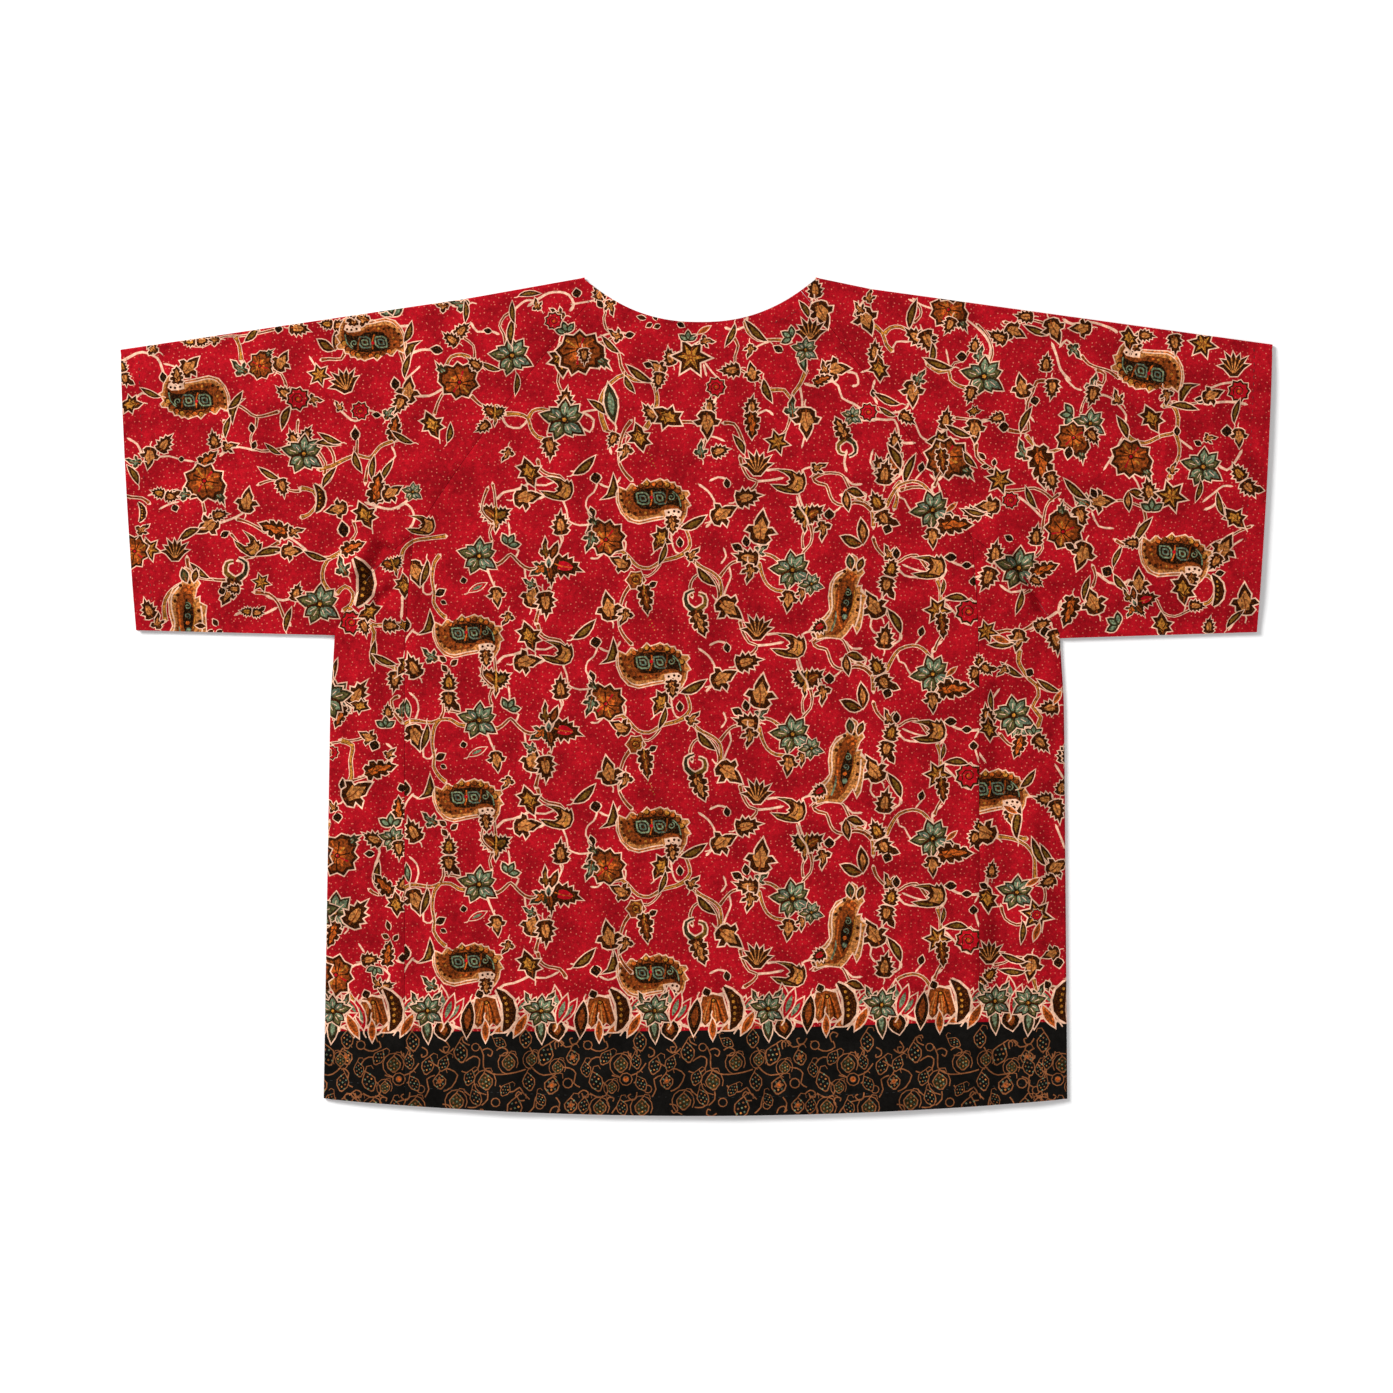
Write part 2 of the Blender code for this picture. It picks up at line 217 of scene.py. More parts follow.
# Printed tones as screen colours, and the number by which the material knows their zone
PALETTE = {
    "ground": (172, 17, 29), "cream": (255, 202, 170), "ochre": (202, 126, 64), "gold": (194, 126, 46),
    "orange": (204, 94, 32), "rust": (136, 60, 20), "olive": (118, 82, 26), "dark": (52, 18, 3),
    "black": (26, 11, 4), "teal": (118, 136, 104), "blue": (94, 112, 92), "moss": (96, 92, 52),
    "sea": (44, 44, 24), "red": (180, 14, 28), "night": (21, 19, 17), "line": (150, 92, 56),
    "wrong": (140, 22, 30),
}
TONES = list(PALETTE)
ZONES = {"ground": 1.0, "red": 1.0, "cream": 0.6, "night": 0.1, "line": 0.6, "wrong": 0.8}
MOTIF_ZONE = 0.35
DOT = (226, 128, 104)
FLECK = (156, 88, 32)
SPECK = (44, 28, 18)
DOT_RADIUS = 0.115
THREAD_PITCH = (0.00055, 0.00060)

# Studio: floor, lamps (place, size, energy) and camera
FLOOR_HALF = 2.5
FLOOR_LEVEL = -0.0002
WORLD_STRENGTH = 0.32
LAMPS = {"key": ((-2.2, 1.8, 2.3), 1.5, 158.0), "fill": ((2.4, -1.8, 2.6), 2.4, 26.0)}
CAMERA_HEIGHT = 2.6
VIEW_WIDTH = 0.91938
SENSOR = 36.0

# Charts in the photo's pixels, read off it: motif, x, y, size in hundredths (negative when
# mirrored), and any turn in degrees
BODY = """
flower 479 720 105; clover 508 709 90 -30; fruit 449 691 95 -14; wings 496 682 99; lobed 528 825 108 -84;
tulip 563 824 79 -6; leaf 560 686 99 8; blossom 549 727 95; broad 530 799 108 14; tear 408 708 72 8;
lobed 416 737 103 196; long 428 737 85 180; bud 441 756 90 -60; bud 444 766 54 -120; spray 449 824 81;
leaf 412 829 103 30; sage 429 819 90 60; bud 406 788 117; lobed 533 758 103 -10; sage 529 747 72 70;
leaf 547 769 108 190; pale 478 751 77 -64; lobed 497 761 81 186; small 508 783 81 170; drop 464 744 63 10;
fin 586 797 99 -70; drop 596 806 103 190; frill 606 704 105 -8; bud 592 676 90 14; sage 591 706 99 172;
lobed 620 726 85 62; knot 636 744 99; pendant 646 763 95 188; beads 651 784 90; bud 653 748 72 -60;
lobed 609 770 112 10; small 626 781 95 176; broad 662 702 99 -34; long 665 718 72 176; fin 694 690 99 -84;
bud 680 706 81 4; small 692 717 85 -20; horns 695 775 99 -6; fin 703 742 90 204; leaf 749 824 108 -72;
lobed 724 841 108 -64; bud 727 811 81 10; tulip 795 817 83 -4; wings 806 682 -103 -6; drop 829 678 99;
small 824 694 103 -160; bud 746 705 90 10; bud 737 711 95 62; sage 761 713 77 -40; leaf 745 722 103 84;
lobed 761 691 130 -8; small 751 737 103 190; flower 792 734 110 10; lobed 788 765 85 172; small 803 758 81 200;
daisy 811 748 80 20; spiky 757 795 95; lobed 730 773 117 -130; folded 862 708 99 22; fruit 880 675 99 10;
drop 887 693 90 160; flower 932 674 110 20; fern 954 687 103 -80; lobed 932 702 81 182; tongue 951 671 72 -50;
fruit 977 667 81 -40; fruit 888 741 95 -30; lobed 873 768 112 28; leaf 884 799 103 -4; fin 898 784 95 8;
small 887 717 85 50; bud 896 717 90; tulip 936 737 83 8; star 937 774 103 10; pendant 942 789 81 186;
rose 968 775 85; fin 957 759 81 66; bud 921 795 81 -14; bud 950 721 99 90; bud 966 729 81 90; drop 973 745 81;
long 944 751 54 184; small 818 794 85 -40; folded 846 818 81 205; paisley 468 793 95; paisley 653 822 100;
tall 843 757 100
"""
TOP = """
small 151 348 86 60; bud 164 377 86 10; lobed 191 366 95 -45; paisley 196 404 95 180; fin 238 403 77 -60;
fruit 124 373 69; bud 253 428 77 10; bud 255 445 69 -20; long 273 451 60 70; long 151 395 69 80; broad 131 404 86 90;
leaf 166 442 86 -30; lobed 150 458 86 170; sage 134 462 77 90; fin 137 474 77 10; drop 182 459 52 90;
long 226 427 69; leaf 214 439 77 20; small 230 445 86 -50; fern 207 459 77 -40; frill 205 480 110 180;
sage 182 494 86 85; fruit 166 495 69 60; drop 176 508 69 200; lobed 208 526 99 120; leaf 222 514 69 -75;
fin 189 531 86 100; bud 226 534 77 -60; lobed 248 500 99 -10; long 269 476 77 75; leaf 284 488 77 200;
leaf 293 438 77 30; leaf 307 434 77 -20; flower 304 454 110; long 328 441 77 -80; long 327 476 77 -20;
leaf 284 393 77 60; fin 284 416 86 140; small 316 399 77 -70; rose 299 399 77; sage 239 368 95 60;
frill 260 366 75 -80; lobed 283 361 86 -30; fin 254 336 77 -60; drop 279 329 77 170; leaf 301 328 86 -95;
fruit 197 341 69 80; small 213 340 77 90; star 320 375 86; folded 335 350 86 10; star 150 549 90; spiky 176 553 86;
frill 136 551 90 90; small 143 528 77 -30; moon 140 512 60; long 199 573 77 65; tall 184 607 100 10;
leaf 148 608 86 30; small 157 621 86 20; horns 236 580 -103; leaf 233 589 60 90; drop 223 591 69 200;
tulip 251 552 68 -30; long 270 549 95 -65; fern 275 530 95 80; small 296 530 86 -50; lobed 293 551 86 -90;
long 316 558 77 85; star 262 582 73; leaf 297 591 77 -10; flower 320 604 115; long 286 619 77; fruit 253 612 60 70;
spray 213 627 77 80; lobed 337 509 86 100; moon 316 498 86; sage 342 566 103 30; moon 357 582 146;
fruit 334 325 69 70; paisley 372 346 95 180; clover 391 316 103; small 361 319 95 80; fin 411 334 77 -40;
long 405 366 77; bud 396 384 103 10; lobed 409 390 103 -10; leaf 400 406 86 160; sage 390 412 77 -30;
fern 394 428 77; long 402 440 77 75; spiky 346 385 95 20; small 339 407 60 60; rose 361 411 60 20; bud 377 415 69 80;
bud 356 434 103; fin 355 462 77 180; long 330 441 77 80; long 371 468 77 10; long 385 470 77 -14; fern 376 488 95;
lobed 393 492 86 -60; broad 366 514 103 20; daisy 413 492 70; bud 344 529 129 10; fern 353 546 77 -60;
tulip 427 531 68; broad 433 424 103 20; fin 452 434 69 -30; frill 460 383 105 10; wings 495 415 77;
leaf 483 428 69 130; flower 512 356 110 10; long 509 332 86 10; long 519 384 69 190; long 490 369 69 84;
leaf 474 364 69 60; bud 488 331 69 80; long 511 313 69 20; leaf 463 329 77 -40; leaf 450 339 77 60;
bud 437 350 103 80; sage 458 304 103 90; long 468 311 69 195; small 441 306 86 90; long 529 292 69 -70;
small 536 305 69 40; small 557 315 86 80; drop 577 293 86 10; leaf 598 292 77 20; bud 600 304 77 40;
small 612 307 86 -140; rose 554 321 60; clover 567 333 86 20; broad 561 361 120 180; frill 579 350 125 200;
leaf 585 357 69 190; long 609 347 77 60; small 615 336 86 80; bud 630 335 77 -80; leaf 565 398 95;
leaf 551 449 95 190; flower 564 420 120; tear 611 403 146 8; fin 600 405 77 30; fin 627 385 69 190;
long 638 377 95 70; leaf 649 412 86 50; broad 668 418 116 -125; lobed 657 367 77 50; bud 648 365 77 70;
leaf 659 382 77 175; leaf 669 356 77 20; star 691 357 146 10; clover 688 341 77; small 707 340 77 -70;
broad 639 438 103 190; leaf 613 441 69 160; spray 652 321 69 70; bud 681 325 69 -120; tongue 704 330 77 -60;
long 733 336 77 170; long 754 334 95 60; leaf 729 371 86 100; small 751 351 77 185; lobed 752 372 77 10;
fin 764 391 86 180; rose 716 387 65; leaf 709 405 77; lobed 707 425 112 180; leaf 751 405 86; fern 753 425 82 190;
star 777 442 95; sage 791 407 103 10; lobed 806 423 120 180; fin 742 444 77 10; leaf 814 287 86 10;
lobed 822 315 112 -160; fin 807 309 69 10; spiky 810 334 95; clover 792 338 86 60; bud 778 349 86 60;
tear 802 360 95 195; daisy 805 350 90; lobed 837 369 103 -90; small 823 368 77 40; fern 822 379 60 -60;
lobed 866 321 112 200; small 858 309 77 60; horns 846 438 86 180; daisy 852 416 70; rose 868 412 60;
small 868 296 77 10; leaf 874 350 86 8; broad 878 369 95 180; sage 700 449 86 10; leaf 721 450 77 -70;
long 909 314 95; leaf 913 336 95 60; leaf 929 343 103 205; bud 934 338 60 -90; long 934 355 77 190;
frill 948 309 100 180; leaf 949 327 77 160; lobed 912 394 103 180; sage 919 377 86 -20; long 937 367 95 85;
drop 961 357 95 90; leaf 974 344 69; sage 979 354 86; flower 983 377 115; leaf 970 396 77 170; bud 873 393 69 10;
long 886 402 86 80; long 886 414 60 75; leaf 908 418 77 -120; leaf 894 439 77 10; fern 893 459 95;
leaf 879 466 95 30; long 906 468 95 -6; leaf 945 418 86; lobed 974 431 95 180; long 957 434 86 80;
broad 939 440 95 90; frill 946 456 120 190; fin 967 461 69 200; spray 989 464 69 40; star 999 480 103;
leaf 970 513 86 80; lobed 987 506 95 90; leaf 1023 317 77 90; lobed 1015 332 86 -120; leaf 996 337 86 70;
long 1036 333 86 85; lobed 1054 331 103 200; lobed 1080 328 86 90; sage 1075 351 86 -130; leaf 1045 362 77;
leaf 1052 390 86 180; lobed 1021 386 95 10; drop 1034 401 86 190; long 1022 419 86 -10; leaf 995 419 69 110;
drop 1003 427 95 90; broad 973 411 52 90; sage 1021 450 103 30; fern 1043 466 129 200; leaf 1052 482 86 200;
sage 1092 384 103; leaf 1092 397 86 170; clover 1072 415 95 90; daisy 1089 424 110; frill 1073 437 95 160;
leaf 1093 437 77 -140; bud 1068 453 103 170; small 1115 398 86 40; fin 1125 427 86 5; paisley 1146 376 100 165;
small 1167 397 86 200; broad 1129 338 86; leaf 1147 335 69 -90; leaf 1175 345 86 -170; star 1202 344 107;
spiky 1233 368 95; long 1183 404 86 -85; bud 1199 400 86 80; lobed 1212 395 86 -70; rose 1238 391 73;
long 1233 411 77; drop 1226 431 103; lobed 1238 438 77 180; broad 1151 418 103 20; frill 1130 456 110 180;
folded 1128 491 77 200; leaf 1147 489 95 20; star 1170 496 120; clover 1151 511 95; small 1171 468 69;
bud 1176 431 77; flower 1202 467 110; long 1200 491 69 180; small 1209 437 69 -60; bud 1197 443 69 60;
fruit 1243 481 95 20; lobed 1101 501 103 -90; bud 1093 493 86 30; sage 1079 500 103 60; long 1073 492 95 62;
leaf 1081 518 95 200; long 974 514 69 90; rose 1010 500 56; long 1028 499 77 40; frill 1062 532 105 -40;
leaf 1035 534 86; lobed 1081 556 112 160; bud 1069 546 86 60; drop 1106 571 103 60; fin 1117 584 77 200;
leaf 994 551 95; flower 1018 568 120; leaf 987 580 103 160; fern 1043 568 86 -60; leaf 1037 581 60 -120;
long 1021 602 77 180; bud 1008 538 77 60; lobed 1092 600 112 20; long 1083 588 77; fern 1070 611 95 170;
lobed 1138 581 95; blossom 1134 603 69 30; clover 1118 625 95 60; broad 1162 624 95; paisley 1175 549 100 -8;
long 1139 529 95 -20; leaf 1129 543 69 90; long 1114 556 69 -10; lobed 1224 547 112 -30; leaf 1214 563 77 150;
bud 1219 573 77 -80; broad 1234 517 95 40; long 1217 505 77 30; broad 1183 588 112; moon 1212 590 95;
leaf 1197 605 69 -90; leaf 1208 624 69; lobed 1244 599 120; long 1232 617 77 -30; paisley 652 968 97
"""
SIDE_PRINT = """
wings 394 566 76 20; broad 404 586 88 180; rose 352 622 80; leaf 366 628 72 200; broad 371 612 88 -70;
leaf 394 625 80 -90; long 372 653 80 10; long 384 662 80 80; leaf 396 682 88 180; star 404 625 48;
broad 408 664 96 -45; sage 402 708 80; leaf 388 710 64 10; clover 386 727 80; lobed 368 736 72 60;
drop 375 745 96 160; flower 331 698 120; fern 341 716 72 170; leaf 358 692 120 -25; broad 361 706 72 -110;
long 331 672 88; rose 332 752 48; fern 380 767 96 -68; small 390 752 72 -20; bud 344 784 104 10;
lobed 358 791 128 -60; drop 402 787 80 20; drop 338 817 88 190; small 332 806 72 60; fern 398 808 72 10;
clover 391 826 96; leaf 372 838 88 70; daisy 393 838 90; frill 337 855 110 -90; bud 370 853 80 90;
leaf 400 850 80 190; long 375 875 88 10; fern 383 885 80 50; broad 396 904 88 180; leaf 404 881 72 -20;
flower 335 912 115; leaf 357 911 128 -30; fern 334 934 80 170; spray 391 936 72 10; fern 387 953 76;
leaf 372 958 80 -80; clover 376 966 72 170; drop 403 957 80; frill 337 974 110 100; leaf 387 985 72 -60;
small 376 982 72 60; star 986 631 88; lobed 1017 640 88 170; long 1003 646 88 110; tongue 1000 639 96 70;
leaf 1043 623 80 -60; drop 1045 632 104 190; leaf 1057 642 104 195; drop 1029 672 80 60; long 1010 672 80 70;
small 1003 671 72 160; fruit 981 664 72 30; long 1047 688 80 75; leaf 1047 708 88 100; tongue 1057 697 80 150;
daisy 1018 727 90 20; flower 1013 715 110 10; clover 1033 734 72; leaf 1042 743 88 -130; fern 1019 746 72 170;
leaf 986 714 88 20; long 989 701 64 20; broad 988 729 88 180; paisley 991 784 100; fin 1029 781 80 -60;
leaf 1042 799 80 90; long 1014 822 104 8; leaf 1058 811 96 -160; leaf 1061 785 72 -10; leaf 1063 752 80;
lobed 981 830 120 60; tongue 1010 809 80 60; long 1035 853 96 40; long 1045 856 80 50; lobed 1057 866 96 -60;
leaf 1046 882 80 120; leaf 991 868 72; broad 986 898 104 180; bud 983 885 80 60; daisy 1016 892 125;
tongue 1032 881 80 -60; star 1036 914 120; rose 1036 914 40; long 1024 931 72 190; tongue 1036 931 96 160;
spiky 989 955 88; lobed 1030 967 100 170; long 1012 960 80 85; long 1012 973 80 100; lobed 1050 953 72 110;
drop 1058 962 96 190; fruit 984 979 80 -60; small 1047 987 72 20
"""
ROW = """
pale 449 1008 120 -20; pale 514 1012 120 -18; pale 523 1004 100 -40; pale 557 1002 130 6; pale 569 1010 110 -34;
pale 530 1018 110 60; sage 529 1000 90 40; sage 549 998 90 -20; tongue 507 1026 130 -70; tongue 521 1024 130 150;
fan 486 1012 100; hook 467 1018 105 166; moon 501 1009 130 6; tongue 486 1030 110 180; bell 557 1028 100 190;
tear 541 1027 110 184; daisy 541 1010 115; drop 480 993 80 20
"""
FIELD = """
oval 461 1051 100 8; round 509 1061 90; oval 546 1053 110 -20; eyed 573 1056 100 15; round 486 1080 100 10;
oval 529 1080 90 10; eyed 552 1084 115 -10; ring 568 1082 100; round 457 1100 100; oval 515 1106 110 -12;
eyed 571 1104 100; oval 596 1080 100 20; rings 626 1078 80; round 600 1106 90; oval 526 1037 90; round 621 1063 95;
oval 640 1040 95 6; ring 588 1044 90; ring 496 1101 90; round 642 1106 100; oval 655 1064 90 -14; ring 540 1104 80;
ring 476 1046 80; eyed 440 1080 100 6; oval 500 1041 70 60; ring 648 1088 80; oval 444 1062 80 -20;
oval 476 1096 85 24; round 532 1058 75; oval 606 1056 80 -30; oval 586 1068 75 10; round 612 1086 70;
oval 641 1082 80 30; oval 584 1104 80 -8; oval 470 1076 80 -16; round 558 1066 75; oval 622 1106 80 14;
oval 506 1088 70 -30; oval 636 1060 75 12; oval 541 1098 70 30
"""
# Stems: thickness in tenths of a millimetre, the first place on the grid, then each step from there
BODY_VINES = """
28 404,724 8,-4 10,1 10,1 9,-3 10,0 8,5 7,1; 28 440,719 -5,7 -2,11 0,9 2,11 -1,9 6,10 6,5; 24 441,718 3,-7 0,-7 4,-8;
22 446,710 9,1 9,3; 13 411,693 6,6 2,10 -3,9; 13 424,746 0,10 7,2 5,-8; 14 414,795 6,3 7,-2 6,-5;
14 404,808 4,-8 5,-6; 22 493,648 2,10 1,14; 22 492,704 -2,-8 3,-8; 13 509,688 1,10 -3,8;
26 490,725 8,3 8,-6 5,-4 6,6 8,7 9,2 8,-4; 14 525,732 1,10 3,7; 15 488,734 4,10 4,8; 14 516,721 3,-7 -5,-2;
12 563,828 4,10 1,8 3,4 9,3 10,-1; 14 560,699 2,7 -4,8; 26 550,752 -6,12 -5,10 -3,12; 26 538,788 3,9 8,5 11,2 6,8;
14 534,812 12,1 11,-5; 17 498,826 6,-6 10,-2 10,-4 7,-4; 22 488,816 -4,10 -2,12 6,8 5,4; 13 541,826 9,-4 6,2;
29 613,716 9,-1 8,7 8,8 11,2 9,-5 6,-3 12,-3 8,-4; 28 684,717 6,-8 -2,-11 -5,-9 -7,-6 -6,-1;
13 684,718 -8,-2 -4,-10 -1,-12; 13 604,716 -6,6 -6,0; 13 620,700 6,6 -1,8; 26 631,749 -6,8 -4,11 -2,12 1,12 6,10 6,6;
20 639,738 9,2 8,-6 4,-6; 14 601,812 7,3 8,-3 4,-6; 12 597,813 -3,7 -6,5 -2,9 5,8; 12 572,799 6,1;
29 686,716 8,9 8,6 10,5 8,8 1,13 -4,9; 22 694,724 6,12 6,8; 22 692,760 -2,-10 4,-9 8,-4 9,3 6,9 2,11 -3,10;
17 707,690 5,-5 6,-4; 15 711,808 7,-3 6,1; 24 720,740 7,-9 6,-5 9,-2; 13 729,731 2,9 -4,10 -3,8; 13 724,713 2,7 -4,6;
28 756,720 10,-2 8,3 7,6; 28 759,727 3,11 5,10 9,6 12,1; 22 802,724 1,-8 7,-8 2,-10 -2,-10; 20 803,712 -1,-10 3,-10;
15 798,656 3,10 3,8; 12 830,661 5,6 6,3 -7,6; 24 740,785 3,11 6,10 8,3 -4,7 -9,6; 17 758,809 12,-1 11,-2;
17 768,798 10,-1 12,3; 14 797,826 3,10 6,8 2,8; 15 804,804 -2,-6 8,-3 8,1;
26 822,801 -9,5 5,5 8,2 3,8 4,8 9,4 12,-3 10,2 7,6; 22 814,805 10,-4 12,0 7,3 5,10 6,10; 14 855,826 5,-6 6,2 -2,6;
28 842,659 12,2 12,6 6,10 1,13; 28 886,670 6,-12 7,-9 13,-4 10,3 7,8 3,10; 18 932,658 0,-9 8,-7;
12 897,655 2,6 5,2 3,6 4,6; 24 873,702 3,9 8,9 11,7 10,-6 11,-2 8,9 6,8; 15 897,731 7,8 12,2 14,-1;
13 904,729 10,4 12,3; 22 896,728 -3,8 -7,8; 22 884,752 -2,8 2,12 6,10; 14 872,780 -2,10 4,6; 15 900,796 -1,8 -7,4;
29 937,744 3,11 0,13; 15 941,742 5,-8 -4,-8 4,-5; 18 950,724 7,4 11,2 11,-1; 13 975,736 4,-7; 15 975,750 3,10;
18 942,764 8,-1 10,0 10,1 8,3; 15 946,768 8,8 6,8 8,4; 24 941,800 -4,6 -3,8; 12 921,800 -5,6; 15 860,812 -8,0 -6,-6;
18 845,748 13,2 6,8; 15 700,649 8,6 6,9 2,10
"""
TOP_VINES = """
18 122,362 10,-6 11,-4 15,6 5,11 3,10 6,13; 13 166,364 8,2 8,6; 24 231,407 7,-2 10,6 10,6 21,-5;
20 258,418 -1,9 -5,9 1,10 9,5 19,-2; 14 254,450 -14,-3 -10,2 -8,6; 18 124,405 10,-5 9,-7 9,2 12,1;
16 130,439 8,5 4,8; 13 158,457 12,-1 10,3 12,2; 30 225,421 3,7 -4,8; 24 203,497 1,6 2,9; 18 197,494 -11,3 -12,-3;
13 155,493 -5,2; 13 162,508 8,-4 8,-2; 16 220,523 12,-4 10,-5 8,-6; 24 238,519 10,3 10,5 8,5; 22 232,534 6,7 4,9;
20 260,484 12,-4 12,2 6,8 10,1; 22 299,421 -1,9 1,10; 26 316,447 10,-3 7,8 2,12 -5,16 -12,8; 24 318,450 8,13 -1,11;
30 302,488 12,3 4,12 -8,11 -8,3; 22 269,369 13,5 5,12; 32 236,337 4,9 2,14;
20 190,345 14,1 9,-5 13,-5 14,0 20,-3 20,-5; 13 311,358 5,8 6,8; 26 120,494 12,3 11,1 7,5;
26 188,558 2,12 9,7 14,2 12,1 15,-2; 34 197,582 -15,2 -12,9 -5,12 1,15; 26 240,560 12,-4 10,-4 18,-10;
22 307,551 9,5 14,1 10,-5; 16 284,534 12,7 10,8; 26 256,592 14,2 9,9 5,13 6,8; 16 237,614 15,-6 10,6 14,-6;
18 270,597 14,3 12,-3 8,3; 34 341,553 -13,7 -5,13 2,11 6,8; 30 338,593 8,-7 8,7 -2,11 -8,6;
26 322,360 8,-1 12,0 4,-9; 18 388,322 8,4 12,0; 18 413,353 9,-3 8,0 8,0; 26 401,352 3,10 1,10; 13 408,378 8,-7 4,-4;
18 418,396 12,0 10,-5 8,-5; 16 336,404 6,7 10,9 8,0 8,-10 10,4 8,2; 24 356,428 2,12 -1,14;
30 320,469 12,-3 12,-6 14,-5 12,3 10,-11 8,-4 12,-4 9,3; 26 373,458 -5,10 -2,14; 22 354,522 3,10 -5,8;
14 393,448 3,8 -6,6; 18 368,503 12,4 12,2 12,-5 6,-6; 16 399,508 5,-5 8,5 3,11 -4,9;
30 402,560 2,-10 10,-9 16,-3 16,-2; 24 435,414 3,-10 4,-8 4,-6; 26 472,396 8,8 10,4 8,-2;
30 507,414 11,0 10,4 3,10 7,9 13,3; 30 551,412 -9,-3 -9,2 -4,7; 16 503,418 5,8 12,2 8,-8;
30 446,376 1,-10 5,-9 10,-2 8,3; 22 506,344 -2,-10 -4,-8 5,-10 9,-5; 16 472,324 6,8 12,-1 8,3; 20 464,338 10,8 1,12;
16 512,312 10,-9 7,-3 9,2; 18 530,305 10,-7 9,-5 11,-1 9,3 5,9 -3,6; 13 574,304 12,-2 10,-2;
22 594,294 4,8 8,7 -2,9 2,10 6,5; 20 580,342 12,1 12,-1 8,-4; 26 602,343 10,4 7,7 2,12 5,9; 14 600,337 16,-5 16,3;
24 560,372 -2,10 4,10; 16 574,418 10,-6 10,-2 8,-2; 16 578,424 12,8 4,-12 -8,-6;
34 606,430 -5,-16 1,-18 10,-14 12,-7 10,5 12,1 6,1 5,14 -2,16 -9,16; 22 606,430 10,4 10,2; 18 612,432 -3,10 2,10;
26 680,422 12,0 8,3; 22 707,436 -3,10 -3,10; 16 716,398 -4,12 -4,8; 16 706,374 -2,-8; 13 706,364 6,8 6,6;
18 726,328 7,2 11,-3 3,-9; 28 745,322 3,10 10,8 10,0 12,0 10,2; 22 734,338 4,8 -3,10 1,10 8,6 12,6 5,4;
14 768,342 -10,4 -6,6; 30 762,388 10,2 12,0 6,8 4,-6 6,-8 6,-14; 16 800,388 2,12 0,10; 26 724,423 10,1 6,10 4,12;
16 754,416 12,-6 6,4; 20 790,418 -4,12 -6,6; 13 804,438 -2,8; 14 700,443 10,-7 12,4; 18 806,384 10,2 12,-4 8,-2;
16 830,380 8,6 4,12 12,6 8,6; 16 848,372 8,2 2,10 -5,2; 14 862,372 6,-2; 16 860,306 6,-9 4,-3;
18 846,424 4,-4 12,0 12,0; 18 812,298 0,8 6,6; 18 846,452 -2,10 2,8; 32 874,326 8,7 4,12 6,6;
32 884,334 6,-6 10,-1 12,6 8,5; 14 892,350 4,-8 10,0; 16 874,382 -2,10 4,10; 22 914,300 6,8 0,8 -6,6;
14 910,300 14,6 12,4; 16 931,350 -2,10 -3,4; 13 946,352 2,10; 30 927,364 11,8 10,-1 2,9 8,6 10,2 8,-4;
20 950,370 4,-7 8,-2 6,-9; 13 958,314 14,10 13,13 5,12 -3,13; 16 880,412 12,1 12,-3 4,-6;
16 868,418 18,2 8,0 4,10 2,12 12,1; 14 906,412 8,10 6,14 6,4; 30 900,482 -6,6 3,8 -3,12; 26 900,490 12,-3 14,1 8,8;
22 955,418 10,1 7,1; 26 976,444 0,12 8,8 8,6; 14 938,432 12,-3 12,2; 14 931,476 7,8 2,8; 14 982,422 8,-2 6,-2;
20 977,325 7,7 6,10 2,12 -4,10; 22 1000,336 10,-2 10,2; 22 1004,322 10,2 14,-4 12,2 10,4; 18 1052,345 4,11 4,14 8,9;
16 1060,346 6,-6 6,6; 24 1081,356 7,8 10,4 10,3 10,7; 26 1096,370 8,4 -2,10 -8,-4; 18 1064,320 8,4 18,-2 20,6 6,4;
26 1044,381 -8,1 -4,10 -5,10 -1,14 2,14 -10,2 -10,-2; 14 1026,412 6,8; 18 983,420 9,0; 16 974,445 2,11 8,7;
30 1026,436 8,10 12,6 12,-3 8,-5; 24 1004,491 14,-1 16,-2 12,6 6,6; 16 1020,498 10,8 10,10;
22 1058,494 -10,8 -4,10 -2,14; 18 1058,508 8,6 10,2; 22 1060,500 10,8 10,4; 14 1092,514 6,12 12,2;
20 1042,526 -2,12 2,10 -6,8; 20 1088,392 -6,12 -2,8; 14 1102,395 8,3 8,8 7,9 -1,9; 14 1066,380 8,8 6,2;
32 1162,406 10,0 5,12 -3,14 -14,4 -16,7 -14,-4 -6,-7; 14 1120,440 -6,12 -10,16; 14 1110,458 10,2;
30 1174,432 4,12 0,12 -6,12 -4,10; 16 1174,436 8,6 8,6; 16 1139,344 3,12 14,4 13,1 5,-7; 14 1124,344 -2,8 10,4;
22 1160,400 6,-4 6,-6; 20 1172,402 18,2 14,-4; 18 1206,404 14,-2 12,0 12,2; 16 1206,390 14,-6 16,-2;
18 1216,464 10,6 8,-8 6,-10; 14 1204,500 10,-8 8,-6 8,0; 20 1110,502 10,-2 14,4 10,4; 26 1142,506 3,12 -3,14 4,10;
14 1142,498 -6,-16 -6,-8; 24 1115,540 11,6 12,-4 6,-4; 14 1118,548 -4,12; 24 1092,566 3,10 -3,10;
18 1098,574 10,8 12,2 8,-4; 20 1147,594 9,6 6,12 12,4 14,-6 10,-4; 14 1192,564 8,6 12,0;
30 1190,576 12,-2 10,6 2,12 -6,10 -12,4; 20 1206,549 8,-7 12,-4 12,-7 12,-5; 20 1219,500 7,10 4,12 12,6;
18 1205,509 7,-3 6,-6; 16 1001,586 9,6 12,-2; 20 1030,590 -8,4 -2,6; 14 975,577 9,-3; 18 1060,602 -2,10 8,6;
18 1030,628 14,-8 12,-8; 14 1232,545 8,-5; 16 1229,628 7,-10 8,-10
"""
